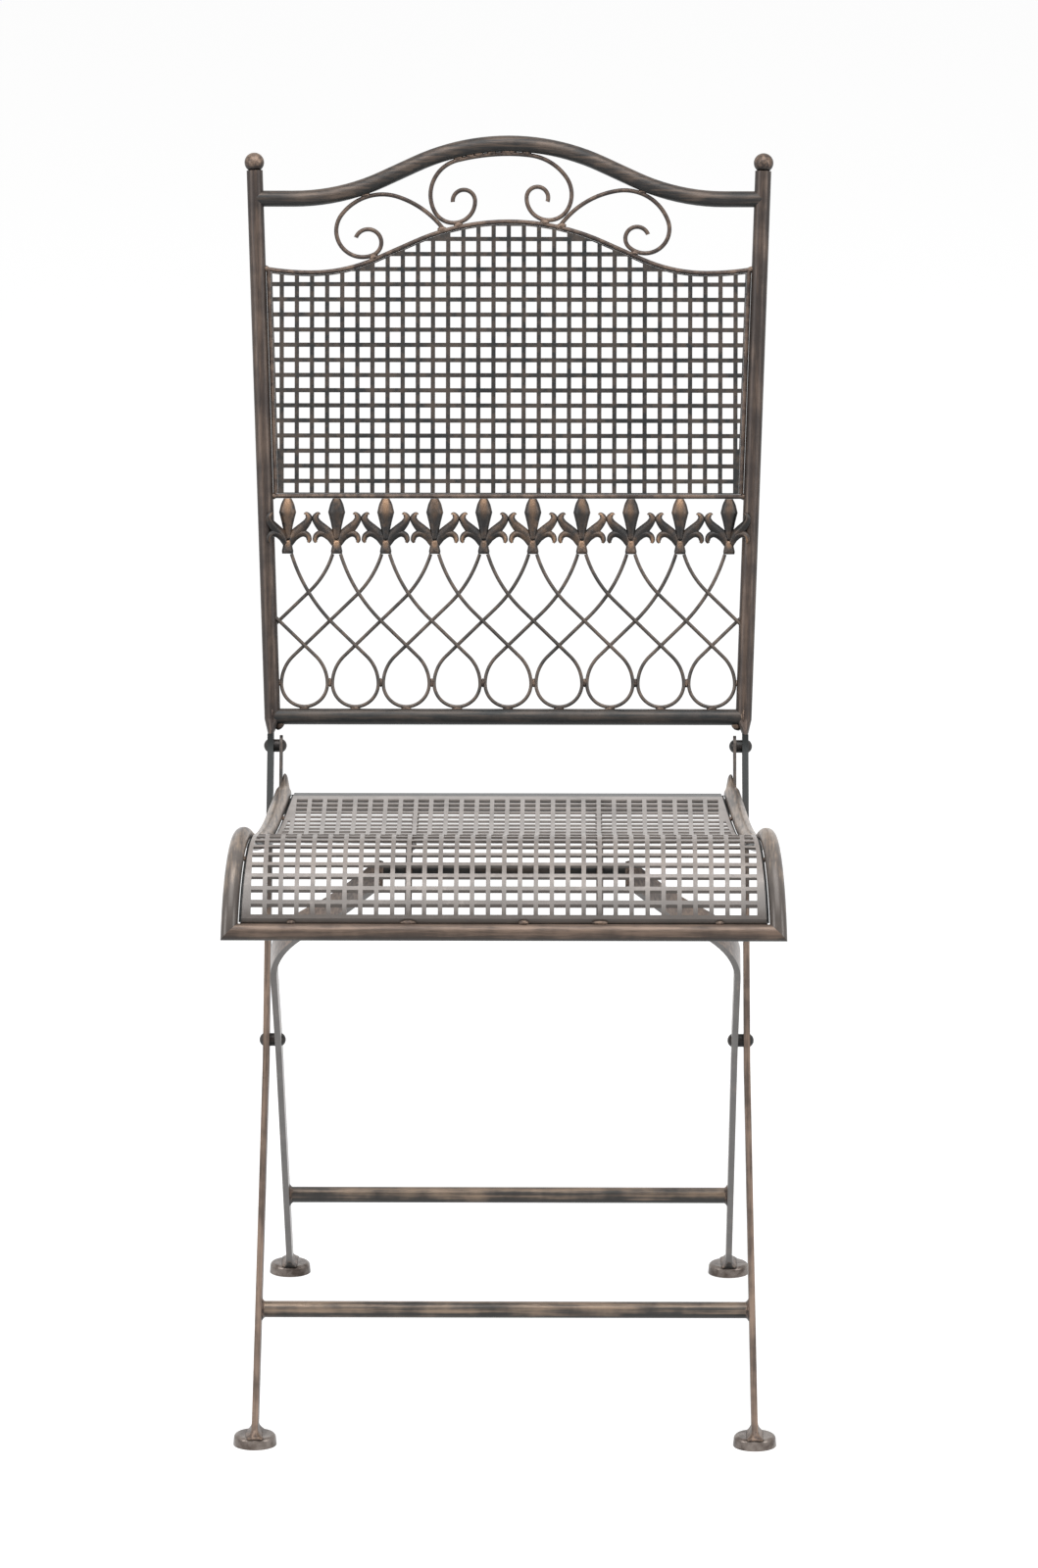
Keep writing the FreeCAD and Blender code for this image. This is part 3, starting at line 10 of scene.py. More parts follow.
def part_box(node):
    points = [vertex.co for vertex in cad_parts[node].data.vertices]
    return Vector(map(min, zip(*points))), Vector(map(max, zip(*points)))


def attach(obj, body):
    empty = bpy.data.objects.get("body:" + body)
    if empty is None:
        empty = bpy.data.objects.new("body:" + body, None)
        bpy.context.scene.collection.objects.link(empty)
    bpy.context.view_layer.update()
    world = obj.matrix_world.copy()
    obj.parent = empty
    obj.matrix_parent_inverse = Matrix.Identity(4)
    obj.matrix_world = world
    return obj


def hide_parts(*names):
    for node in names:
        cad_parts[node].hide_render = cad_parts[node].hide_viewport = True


# Folding garden chair of painted steel: looks, weld beads and sculpted castings around
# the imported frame. The scene is in metres; X across, the sitter faces -Y, Z up.

MM = 0.001
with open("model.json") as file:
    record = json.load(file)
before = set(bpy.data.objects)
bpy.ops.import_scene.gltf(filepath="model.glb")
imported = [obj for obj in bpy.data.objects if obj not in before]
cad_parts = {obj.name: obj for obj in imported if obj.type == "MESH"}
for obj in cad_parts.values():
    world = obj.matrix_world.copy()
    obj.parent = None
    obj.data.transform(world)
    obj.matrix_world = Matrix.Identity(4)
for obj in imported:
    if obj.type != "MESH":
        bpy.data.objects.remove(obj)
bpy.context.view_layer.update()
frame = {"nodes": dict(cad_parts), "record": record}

joints = {joint["name"]: joint for joint in frame["record"]["behaviour"]["joints"]}
seat_pivot = np.array(joints["seat_fold"]["pos_m"])
BACK_RAKE = math.radians(12.0)
back_up = np.array([0.0, math.sin(BACK_RAKE), math.cos(BACK_RAKE)])
back_front = np.array([0.0, -math.cos(BACK_RAKE), math.sin(BACK_RAKE)])


def on_back(across, up, forward=0.0):
    """Point of the back: across the chair, up the leaning back from the seat pivot, and
    forward to the sitter, each in millimetres and each a number or an array."""
    across, up, forward = np.broadcast_arrays(across, up, forward)
    return (seat_pivot
            + np.multiply.outer(across * MM, (1.0, 0.0, 0.0))
            + np.multiply.outer(up * MM, back_up)
            + np.multiply.outer(forward * MM, back_front))


# ---------------------------------------------------------------- surfaces on a grid


def closed_grid(points):
    """Vertices and quads of a grid that closes round its second way.

    The first and last rows are capped by one middle vertex each, so the skin is whole.
    """
    rows, columns = points.shape[:2]
    index = np.arange(rows * columns).reshape(rows, columns)
    after = np.roll(index, -1, axis=1)
    quads = np.stack([index[:-1], after[:-1], after[1:], index[1:]], axis=-1).reshape(-1, 4)
    caps = points[[0, -1]].mean(axis=1)
    first, last = rows * columns, rows * columns + 1
    near = np.stack([after[0], index[0], np.full(columns, first)], axis=-1)
    far = np.stack([index[-1], after[-1], np.full(columns, last)], axis=-1)
    vertices = np.concatenate([points.reshape(-1, 3), caps])
    return vertices, quads, np.concatenate([near, far])


def ring_grid(points):
    """Vertices and quads of a grid that closes both ways, like a doughnut."""
    rows, columns = points.shape[:2]
    index = np.arange(rows * columns).reshape(rows, columns)
    after = np.roll(index, -1, axis=1)
    below = np.roll(index, -1, axis=0)
    both = np.roll(below, -1, axis=1)
    quads = np.stack([index, after, both, below], axis=-1).reshape(-1, 4)
    return points.reshape(-1, 3), quads, np.zeros((0, 3), int)


def outward(vertices, quads, triangles):
    """The same skin with its faces turned outward: the volume they enclose, summed over
    corner tetrahedra, is made positive."""
    def enclosed(faces):
        corners = vertices[faces]
        return sum(np.einsum("ij,ij->i", corners[:, 0],
                             np.cross(corners[:, k], corners[:, k + 1])).sum()
                   for k in range(1, faces.shape[1] - 1))
    total = enclosed(quads) + (enclosed(triangles) if len(triangles) else 0.0)
    if total < 0:
        return vertices, quads[:, ::-1], triangles[:, ::-1]
    return vertices, quads, triangles


def piece_from(name, skins, body, material, marks=None):
    """One mesh piece from several closed skins; marks are shares from 0 to 1 that the
    material reads as the attribute "ridge"."""
    vertices, faces, offset = [], [], 0
    for skin in skins:
        points, quads, triangles = outward(*skin)
        vertices.append(points)
        faces += (quads + offset).tolist() + (triangles + offset).tolist()
        offset += len(points)
    mesh = bpy.data.meshes.new(name)
    mesh.from_pydata(np.concatenate(vertices).tolist(), [], faces)
    mesh.polygons.foreach_set("use_smooth", np.ones(len(mesh.polygons), bool))
    if marks is not None:
        ridge = mesh.attributes.new("ridge", "FLOAT", "POINT")
        ridge.data.foreach_set("value", np.concatenate(marks).astype(np.float32))
    mesh.materials.append(material)
    piece = bpy.data.objects.new(name, mesh)
    bpy.context.scene.collection.objects.link(piece)
    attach(piece, body)
    return piece


def square_to(axis):
    """Two unit directions square to an axis and to each other."""
    axis = np.array(axis, float)
    axis /= np.linalg.norm(axis)
    helper = np.array([0.0, 0.0, 1.0]) if abs(axis[2]) < 0.9 else np.array([0.0, 1.0, 0.0])
    first = np.cross(axis, helper)
    first /= np.linalg.norm(first)
    return axis, first, np.cross(axis, first)


POLE_GAP = 0.12  # latitude left open at each end of a bead, closed by the caps


def lump(middle, along, half_length, half_width, seed):
    """Weld bead: an ellipsoid whose radius swells and shrinks by a few sine waves.

    r = 1 + 0.10 sin(3a + p) sin(2b + q) + 0.06 sin(5a + q) sin(b), for longitude a and
    latitude b, stretched along the seam. Half sizes are in millimetres.
    """
    axis, first, second = square_to(along)
    shift = np.random.default_rng(seed).uniform(0, 2 * math.pi, 2)
    b = np.linspace(POLE_GAP, math.pi - POLE_GAP, 9)[:, None]
    a = np.linspace(0, 2 * math.pi, 12, endpoint=False)[None, :]
    r = (1 + 0.10 * np.sin(3 * a + shift[0]) * np.sin(2 * b + shift[1])
         + 0.06 * np.sin(5 * a + shift[1]) * np.sin(b))
    points = (np.array(middle)
              + (r * np.cos(b) + 0 * a)[..., None] * axis * half_length * MM
              + (r * np.sin(b) * np.cos(a))[..., None] * first * half_width * MM
              + (r * np.sin(b) * np.sin(a))[..., None] * second * half_width * MM)
    return closed_grid(points)


FILLET_HOLLOW = 1.7  # power that hollows the slope
FILLET_SUNK = 0.25  # depth of its back inside the tube, in leg lengths
FILLET_START = 0.05  # start before the joint, in leg lengths


def fillet(middle, axis, radius, leg, seed):
    """Weld fillet round a tube's end: a triangular section with a hollow slope, carried
    round a circle; its leg length varies by 1 + 0.16 sin(3a + p) + 0.10 sin(7a + q).
    radius and leg are in millimetres."""
    axis, first, second = square_to(axis)
    shift = np.random.default_rng(seed).uniform(0, 2 * math.pi, 2)
    a = np.linspace(0, 2 * math.pi, 36, endpoint=False)[:, None]
    wobble = 1 + 0.16 * np.sin(3 * a + shift[0]) + 0.10 * np.sin(7 * a + shift[1])
    slope = np.linspace(0, 1, 5)
    hollow = (1 - slope) ** FILLET_HOLLOW
    out = np.concatenate([hollow, [-FILLET_SUNK, -FILLET_SUNK]])[None, :]
    run = np.concatenate([slope, [1.0, 0.0]])[None, :] - FILLET_START
    r = radius + out * leg * wobble
    points = (np.array(middle)
              + (run * leg * wobble)[..., None] * axis * MM
              + (r * np.cos(a))[..., None] * first * MM
              + (r * np.sin(a))[..., None] * second * MM)
    return ring_grid(points)


PAD_REACH = 15.1  # half the pad's depth, which no skirt passes
SKIRT_HOLLOW = 2.2  # power that hollows a skirt's side
SKIRT_OVER = 0.25  # a skirt's least distance outside the bar


def skirt(middle, axis, half_wide, half_deep, flare, height, seed):
    """Weld skirt where a flat bar stands on its pad, with its sizes in millimetres.

    A rounded rectangle, cos and sin to the power 0.5, follows the bar up along axis. It
    spreads by flare (1 - rise)^2.2 (1 + 0.13 sin(3a + p) + 0.09 sin(5a + q)) to the pad.
    """
    shift = np.random.default_rng(seed).uniform(0, 2 * math.pi, 2)
    axis = np.array(axis, float) / np.linalg.norm(axis)
    across = np.array([1.0, 0.0, 0.0])
    a = np.linspace(0, 2 * math.pi, 32, endpoint=False)[None, :]
    rise = np.linspace(0, 1, 7)[:, None]
    wave = 1 + 0.13 * np.sin(3 * a + shift[0]) + 0.09 * np.sin(5 * a + shift[1])
    spread = flare * (1 - rise) ** SKIRT_HOLLOW * wave + SKIRT_OVER
    x = np.sign(np.cos(a)) * np.abs(np.cos(a)) ** 0.5 * (half_wide + spread)
    y = np.sign(np.sin(a)) * np.abs(np.sin(a)) ** 0.5 * (half_deep + spread)
    y = np.clip(y, -PAD_REACH, PAD_REACH)
    points = (np.array(middle) + x[..., None] * across * MM
              + y[..., None] * np.array([0.0, 1.0, 0.0]) * MM
              + (rise * height * MM + 0 * a)[..., None] * axis / axis[2])
    return closed_grid(points)


# ---------------------------------------------------------------- where pieces touch


def mesh_points(node):
    """Corner points of a frame node as an array."""
    mesh = frame["nodes"][node].data
    flat = np.zeros(len(mesh.vertices) * 3, np.float32)
    mesh.vertices.foreach_get("co", flat)
    return flat.reshape(-1, 3).astype(float)


def surface_of(node):
    """Search tree over the faces of a frame node."""
    mesh = frame["nodes"][node].data
    return BVHTree.FromPolygons([v.co for v in mesh.vertices],
                                [p.vertices for p in mesh.polygons])


TOUCH_SPREAD = 9.0  # points of one touch lie nearer than this to its first point


def touching(wire, support, reach):
    """Middles of the stretches of a wire that lie within reach of another node.

    The wire's corner points near the support are gathered greedily: a point joins the
    first group whose first point is under TOUCH_SPREAD away.
    """
    surface = surface_of(support)
    groups = []
    for point in mesh_points(wire):
        place = surface.find_nearest(Vector(point), reach * MM)[0]
        if place is None:
            continue
        middle = (point + np.array(place)) / 2
        for group in groups:
            if np.linalg.norm(group[0] - middle) < TOUCH_SPREAD * MM:
                group.append(middle)
                break
        else:
            groups.append([middle])
    return [np.mean(group, axis=0) for group in groups]


def ends_x(node):
    """Middle points of the two ends of a tube that runs across the chair."""
    low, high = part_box(node)
    middle = (low + high) / 2
    return (np.array([low.x, middle.y, middle.z]), np.array([high.x, middle.y, middle.z]))


# ---------------------------------------------------------------- finishes


def node_in(tree, kind, **values):
    """A shader node with its settings, and its input sockets by name or number."""
    node = tree.nodes.new(kind)
    for key, value in values.items():
        if key.startswith("in_"):
            socket = key[3:]
            node.inputs[int(socket) if socket.isdigit() else socket.replace("_", " ")
                        ].default_value = value
        else:
            setattr(node, key, value)
    return node


# Noise scales, per metre
STREAK_FINENESS = 520.0
PATCH_FINENESS = 34.0
GRAIN_FINENESS = 1100.0

# Shares of the sum that says how far the paint is worn, and where in it wear sets in
STREAK_SHARE = 0.62
PATCH_SHARE = 0.38
UPPER_SHARE = 0.20
WORN_FROM, WORN_TO = 0.58, 0.82
TURN_SPREAD = 0.75  # half the range over which a face turns from the painted shade side to the painted lit side


def wear_and_lit_side_group():
    """Shared effect: where hand-rubbed paint is worn, patchy or grainy, and where it takes
    the painted lit tone.

    Noise drawn out by Stretch gives brush streaks, turned by Lean so that they run along
    a leaning bar. Broad noise gives patches. Faces that look along Toward are the painted
    lit side: the finishes colour them lighter, as painted light, and colour the faces
    turned away with a painted shade tone; those faces are rubbed more as well. Streaks,
    patches and those faces add up by their shares, and the paint is worn where the sum
    passes from WORN_FROM to WORN_TO, times Rub. Below the height Low the paint is worn
    and shows the painted lit side; above the height High it is whole and has only the
    painted shade tone.
    """
    group = bpy.data.node_groups.new("wear_and_lit_side", "ShaderNodeTree")
    for name, kind in (("Stretch", "NodeSocketVector"), ("Lean", "NodeSocketVector"),
                       ("Toward", "NodeSocketVector"), ("Rub", "NodeSocketFloat"),
                       ("Low", "NodeSocketFloat"), ("High", "NodeSocketFloat")):
        group.interface.new_socket(name, in_out="INPUT", socket_type=kind)
    for name in ("Worn", "Patch", "Lit", "Grain"):
        group.interface.new_socket(name, in_out="OUTPUT", socket_type="NodeSocketFloat")
    put = node_in(group, "NodeGroupInput")
    out = node_in(group, "NodeGroupOutput")
    link = group.links.new
    place = node_in(group, "ShaderNodeTexCoord")
    drawn = node_in(group, "ShaderNodeMapping", vector_type="TEXTURE")
    link(place.outputs["Object"], drawn.inputs["Vector"])
    link(put.outputs["Stretch"], drawn.inputs["Scale"])
    link(put.outputs["Lean"], drawn.inputs["Rotation"])
    streak = node_in(group, "ShaderNodeTexNoise", in_Scale=STREAK_FINENESS,
                     in_Detail=4.0, in_Roughness=0.62)
    link(drawn.outputs["Vector"], streak.inputs["Vector"])
    patch = node_in(group, "ShaderNodeTexNoise", in_Scale=PATCH_FINENESS,
                    in_Detail=3.0, in_Roughness=0.6)
    link(place.outputs["Object"], patch.inputs["Vector"])
    grain = node_in(group, "ShaderNodeTexNoise", in_Scale=GRAIN_FINENESS, in_Detail=2.0)
    link(place.outputs["Object"], grain.inputs["Vector"])
    facing = node_in(group, "ShaderNodeVectorMath", operation="DOT_PRODUCT")
    link(place.outputs["Normal"], facing.inputs[0])
    link(put.outputs["Toward"], facing.inputs[1])
    parts = node_in(group, "ShaderNodeSeparateXYZ")
    link(place.outputs["Object"], parts.inputs["Vector"])
    rise = node_in(group, "ShaderNodeMapRange", in_To_Min=1.0, in_To_Max=0.0)
    link(parts.outputs["Z"], rise.inputs["Value"])
    link(put.outputs["Low"], rise.inputs["From Min"])
    link(put.outputs["High"], rise.inputs["From Max"])
    turned = node_in(group, "ShaderNodeMapRange", interpolation_type="SMOOTHSTEP",
                     in_From_Min=-TURN_SPREAD, in_From_Max=TURN_SPREAD)
    link(facing.outputs["Value"], turned.inputs["Value"])
    # Painted light: faces that look along Toward, below the height Low, are the lit side
    lit_side = node_in(group, "ShaderNodeMath", operation="MULTIPLY")
    link(turned.outputs["Result"], lit_side.inputs[0])
    link(rise.outputs["Result"], lit_side.inputs[1])
    mixed = node_in(group, "ShaderNodeMath", operation="MULTIPLY_ADD", in_1=STREAK_SHARE)
    link(streak.outputs["Fac"], mixed.inputs[0])
    broad = node_in(group, "ShaderNodeMath", operation="MULTIPLY", in_1=PATCH_SHARE)
    link(patch.outputs["Fac"], broad.inputs[0])
    link(broad.outputs["Value"], mixed.inputs[2])
    lifted = node_in(group, "ShaderNodeMath", operation="MULTIPLY_ADD", in_1=UPPER_SHARE)
    link(lit_side.outputs["Value"], lifted.inputs[0])
    link(mixed.outputs["Value"], lifted.inputs[2])
    worn = node_in(group, "ShaderNodeMapRange", interpolation_type="SMOOTHSTEP",
                   in_From_Min=WORN_FROM, in_From_Max=WORN_TO)
    link(lifted.outputs["Value"], worn.inputs["Value"])
    rubbed = node_in(group, "ShaderNodeMath", operation="MULTIPLY")
    link(rise.outputs["Result"], rubbed.inputs[0])
    link(put.outputs["Rub"], rubbed.inputs[1])
    amount = node_in(group, "ShaderNodeMath", operation="MULTIPLY", use_clamp=True)
    link(worn.outputs["Result"], amount.inputs[0])
    link(rubbed.outputs["Value"], amount.inputs[1])
    link(amount.outputs["Value"], out.inputs["Worn"])
    link(patch.outputs["Fac"], out.inputs["Patch"])
    link(lit_side.outputs["Value"], out.inputs["Lit"])
    link(grain.outputs["Fac"], out.inputs["Grain"])
    return group


WEAR_AND_LIT_SIDE = wear_and_lit_side_group()


def blend_colour(tree, factor, first, second):
    """Mix of two colours, each a socket or a fixed value."""
    mix = node_in(tree, "ShaderNodeMix", data_type="RGBA")
    tree.links.new(factor, mix.inputs[0])
    for socket, value in ((mix.inputs[6], first), (mix.inputs[7], second)):
        if isinstance(value, bpy.types.NodeSocket):
            tree.links.new(value, socket)
        else:
            socket.default_value = (*value, 1.0)
    return mix.outputs[2]


# Ways that the faces with the painted lit tone look, which are also rubbed more; a longer
# arrow makes the change sharper
FORWARD_UP = (0.0, -0.45, 0.89)
UP_BACK = (0.0, 1.60, 1.30)
UPWARD = (0.0, -0.20, 0.80)

OVER_THE_CHAIR = (2.0, 3.0)  # heights that leave the whole chair worn and painted lit alike
SATIN = (0.44, 0.30)  # usual roughness of whole and worn paint
PATCH_SPAN = (0.32, 0.68)  # patch noise from its darkest to its lightest part
PATCH_TONES = (0.78, 1.18)  # what whole paint is multiplied by in those parts
RIDGE_SPAN = (0.28, 0.80)  # ridge shares from none to all of RIDGE_WEAR
RIDGE_WEAR = 0.95
BROKEN_SPAN = (0.35, 0.60)  # patch noise that breaks up a casting's wear
LACQUER_ROUGH = 0.22
GRAIN_DEPTH = 0.4 * MM
PALE_EDGE = 30 * MM  # length over which the sheet's shade tone turns pale with painted bounce light
RIM_SHADE_EDGE = 2 * MM  # half the length over which the sheet turns dark along its rear edge, a painted shade


def bronze(name, shade_side, lit_side, worn, stretch, rub, rough=SATIN, metal=0.35,
           bump=0.12, ridged=False, coat=0.0, toward=FORWARD_UP, fades=OVER_THE_CHAIR,
           lean=0.0, zones=None):
    """Rubbed bronze paint with painted light: a painted shade tone on the faces turned down
    or away, a warmer painted lit tone on the faces turned up, worn to a bright tone in
    streaks.

    stretch says how many times longer the streaks are each way; lean turns them about X,
    in degrees, to follow a bar that leans; rough gives the roughness of whole and worn
    paint; coat adds clear lacquer that pales the paint seen edge on; toward is the way
    that the faces with the painted lit tone look; the wear and the painted lit tone fade
    out between the heights in fades. A ridged finish also brightens where the piece's
    "ridge" is high. zones holds how far back, in Y, the painted shade tone has turned
    pale with painted bounce light, where a painted shade along the rear edge starts, and
    the pale colour.
    Y, the under colour has turned pale, where a dark rim starts, and the pale colour.
    """
    material = bpy.data.materials.new(name)
    material.use_nodes = True
    tree = material.node_tree
    link = tree.links.new
    shader = tree.nodes["Principled BSDF"]
    shader.inputs["Metallic"].default_value = metal
    shader.inputs["Specular IOR Level"].default_value = 0.5
    shader.inputs["Coat Weight"].default_value = coat
    shader.inputs["Coat Roughness"].default_value = LACQUER_ROUGH
    effect = node_in(tree, "ShaderNodeGroup", node_tree=WEAR_AND_LIT_SIDE, in_Rub=rub)
    effect.inputs["Stretch"].default_value = stretch
    effect.inputs["Lean"].default_value = (math.radians(lean), 0.0, 0.0)
    effect.inputs["Toward"].default_value = toward
    effect.inputs["Low"].default_value, effect.inputs["High"].default_value = fades
    if zones is not None:
        bounce_pale_from, rim_shade_from, pale = zones
        place = node_in(tree, "ShaderNodeTexCoord")
        parts = node_in(tree, "ShaderNodeSeparateXYZ")
        link(place.outputs["Object"], parts.inputs["Vector"])
        # Painted bounce light: behind the crest the shade tone turns pale
        behind = node_in(tree, "ShaderNodeMapRange", interpolation_type="SMOOTHSTEP",
                         in_From_Min=bounce_pale_from - PALE_EDGE, in_From_Max=bounce_pale_from)
        link(parts.outputs["Y"], behind.inputs["Value"])
        shade_side = blend_colour(tree, behind.outputs["Result"], shade_side, pale)
        # Painted shade: a dark band along the sheet's rear edge
        rim_shade = node_in(tree, "ShaderNodeMapRange", interpolation_type="SMOOTHSTEP",
                      in_From_Min=rim_shade_from - RIM_SHADE_EDGE, in_From_Max=rim_shade_from + RIM_SHADE_EDGE)
        link(parts.outputs["Y"], rim_shade.inputs["Value"])
    # Painted light and shade: faces that look along toward take the lit tone, faces turned
    # away the shade tone
    whole = blend_colour(tree, effect.outputs["Lit"], shade_side, lit_side)
    shaded = node_in(tree, "ShaderNodeMapRange",
                     in_From_Min=PATCH_SPAN[0], in_From_Max=PATCH_SPAN[1],
                     in_To_Min=PATCH_TONES[0], in_To_Max=PATCH_TONES[1])
    link(effect.outputs["Patch"], shaded.inputs["Value"])
    toned = node_in(tree, "ShaderNodeVectorMath", operation="SCALE")
    link(whole, toned.inputs[0])
    link(shaded.outputs["Result"], toned.inputs["Scale"])
    wear = effect.outputs["Worn"]
    if ridged:
        ridge = node_in(tree, "ShaderNodeAttribute", attribute_name="ridge")
        high = node_in(tree, "ShaderNodeMapRange", interpolation_type="SMOOTHSTEP",
                       in_From_Min=RIDGE_SPAN[0], in_From_Max=RIDGE_SPAN[1],
                       in_To_Max=RIDGE_WEAR)
        link(ridge.outputs["Fac"], high.inputs["Value"])
        both = node_in(tree, "ShaderNodeMath", operation="MAXIMUM")
        link(wear, both.inputs[0])
        link(high.outputs["Result"], both.inputs[1])
        patchy = node_in(tree, "ShaderNodeMapRange",
                         in_From_Min=BROKEN_SPAN[0], in_From_Max=BROKEN_SPAN[1])
        link(effect.outputs["Patch"], patchy.inputs["Value"])
        parted = node_in(tree, "ShaderNodeMath", operation="MULTIPLY")
        link(both.outputs["Value"], parted.inputs[0])
        link(patchy.outputs["Result"], parted.inputs[1])
        wear = parted.outputs["Value"]
    colour = blend_colour(tree, wear, toned.outputs["Vector"], worn)
    # Painted shade laid over the whole colour along the sheet's rear edge
    if zones is not None:
        colour = blend_colour(tree, rim_shade.outputs["Result"], colour, SLATE)
    link(colour, shader.inputs["Base Color"])
    gloss = node_in(tree, "ShaderNodeMapRange", in_To_Min=rough[0], in_To_Max=rough[1])
    link(wear, gloss.inputs["Value"])
    link(gloss.outputs["Result"], shader.inputs["Roughness"])
    relief = node_in(tree, "ShaderNodeBump", in_Strength=bump, in_Distance=GRAIN_DEPTH)
    link(effect.outputs["Grain"], relief.inputs["Height"])
    link(relief.outputs["Normal"], shader.inputs["Normal"])
    return material


# Linear colours: dark tones, from dark to light, mostly used as the painted shade and
# painted lit tones of the finishes
SLATE = (0.011, 0.013, 0.013)
STEEL = (0.020, 0.022, 0.023)
SOOT = (0.022, 0.021, 0.021)
UMBER = (0.046, 0.032, 0.027)
DRAB = (0.066, 0.060, 0.056)
UMBRA = (0.068, 0.054, 0.045)
CHESTNUT = (0.088, 0.062, 0.049)
MOLE = (0.100, 0.093, 0.087)
DUN = (0.130, 0.110, 0.098)

# Light tones, mostly worn tones; TAUPE is the sheet's painted lit tone and FAWN its painted
# bounce light behind the crest
FAWN = (0.215, 0.187, 0.170)
TAUPE = (0.250, 0.217, 0.198)
COPPER = (0.290, 0.200, 0.145)
AMBER = (0.330, 0.200, 0.120)
GOLD = (0.345, 0.250, 0.178)
BRASS = (0.400, 0.300, 0.220)
PALE = (0.330, 0.285, 0.255)

# Turn about X that sets streaks along a bar, in degrees
POST_LEAN = -12.0
FRONT_LEG_LEAN = -33.7
REAR_LEG_LEAN = 46.7

FRONT_LEG_FADE = (0.33, 0.42)  # heights in metres over which the wear and the painted lit tone end, so the legs higher up keep only the painted shade tone

# Painted light and shade on the sheet: behind its crest its shade tone turns pale, standing
# in for light bounced from the floor, and along its rear edge it is painted dark, a painted
# shade
CREST_BACK = 80 * MM
RIM_SHADE_WIDE = 8 * MM
SEAT_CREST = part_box("seat_sheet")[0].y + CREST_BACK
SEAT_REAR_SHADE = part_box("seat_sheet")[1].y - RIM_SHADE_WIDE

# How many times longer the streaks are each way
ALONG_X = (20.0, 1.0, 1.0)
ALONG_RUNG = (60.0, 1.4, 1.4)
ALONG_BAR = (1.0, 1.7, 20.0)
ALONG_SEAT = (1.0, 10.0, 10.0)
EVEN = (1.7, 1.7, 1.7)
SOFT = (2.8, 2.8, 2.8)
BROAD = (4.0, 4.0, 4.0)

# Other roughnesses of whole and worn paint
POLISHED = (0.30, 0.24)
GLOSSY = (0.36, 0.30)
CAST_GLOSS = (0.42, 0.30)
WELD_GLOSS = (0.42, 0.32)
MATT = (0.46, 0.36)

# Each finish: name, painted shade tone, painted lit tone, worn tone, streak stretch, rub,
# then roughness and other settings
FINISHES = {
    "rail": bronze("bronze_rails", SLATE, STEEL, COPPER, ALONG_X, 0.18),
    "top_rail": bronze("bronze_top_rail", SLATE, SOOT, COPPER, ALONG_X, 0.3),
    "rung": bronze("bronze_rungs", SLATE, DRAB, GOLD, ALONG_RUNG, 0.9, GLOSSY),
    "across": bronze("bronze_streaked_across", SLATE, CHESTNUT, COPPER, ALONG_X, 0.45),
    "post": bronze("bronze_posts", SLATE, UMBER, COPPER, ALONG_BAR, 0.3, toward=UPWARD,
                   lean=POST_LEAN),
    "leg": bronze("bronze_front_legs", SLATE, CHESTNUT, COPPER, ALONG_BAR, 0.7,
                  fades=FRONT_LEG_FADE, lean=FRONT_LEG_LEAN),
    "rear_leg": bronze("bronze_rear_legs", MOLE, CHESTNUT, COPPER, ALONG_BAR, 0.6,
                       coat=0.5, lean=REAR_LEG_LEAN),
    "hanger": bronze("bronze_hangers", SLATE, SOOT, COPPER, ALONG_BAR, 0.2),
    "rolled": bronze("bronze_seat_sides", UMBRA, DUN, BRASS, ALONG_SEAT, 0.7, coat=0.4,
                     toward=UP_BACK),
    "wire": bronze("bronze_wire", SLATE, UMBER, COPPER, SOFT, 0.4),
    "loop": bronze("bronze_loops", SLATE, DRAB, COPPER, SOFT, 0.3),
    "border": bronze("bronze_seat_border", SLATE, SLATE, UMBER, SOFT, 0.3),
    # The sheet's zones paint bounce light on its underside behind the crest and a painted
    # shade along its rear edge
    "sheet": bronze("bronze_sheet", UMBRA, TAUPE, PALE, SOFT, 0.5, MATT, metal=0.25,
                    bump=0.18, coat=0.75, toward=UP_BACK,
                    zones=(SEAT_CREST, SEAT_REAR_SHADE, FAWN)),
    "lattice_sheet": bronze("bronze_back_sheet", SLATE, STEEL, COPPER, SOFT, 0.2),
    "cast": bronze("bronze_casting", SLATE, SOOT, AMBER, SOFT, 0.3, CAST_GLOSS, metal=0.4,
                   bump=0.35, ridged=True),
    "weld": bronze("bronze_weld", SLATE, UMBER, COPPER, EVEN, 0.7, WELD_GLOSS, metal=0.4,
                   bump=0.4),
    "foot": bronze("bronze_feet", SLATE, CHESTNUT, PALE, BROAD, 0.7, POLISHED, metal=0.4,
                   bump=0.25),
    "pivot": bronze("bronze_pivot", SLATE, SLATE, UMBER, EVEN, 0.8),
}

# Finish of a frame node by the start of its name; every other node is wire
NODE_FINISHES = (
    ("back_bottom_rail", "rail"), ("seat_bearer", "rail"), ("seat_rear_tube", "rail"),
    ("top_rail", "top_rail"), ("front_rung", "rung"), ("rear_rung", "rung"),
    ("seat_front_tube", "across"), ("back_post", "post"), ("front_leg", "leg"),
    ("rear_leg", "rear_leg"), ("hanger", "hanger"), ("lattice", "loop"),
    ("seat_border_wires", "border"), ("seat_side_tube", "rolled"),
    ("seat_sheet", "sheet"), ("back_sheet", "lattice_sheet"), ("front_foot", "foot"),
    ("rear_foot", "foot"), ("fleur", "weld"), ("finial", "weld"),
    ("seat_pivot_rivets", "pivot"), ("leg_pivot_rivets", "pivot"),
    ("pivot_spacers", "pivot"),
)


def finish_of(node):
    """Finish of a frame node from its name."""
    return next((finish for start, finish in NODE_FINISHES if node.startswith(start)),
                "wire")


for name, node in frame["nodes"].items():
    node.data.materials.clear()
    node.data.materials.append(FINISHES[finish_of(name)])

# ---------------------------------------------------------------- castings

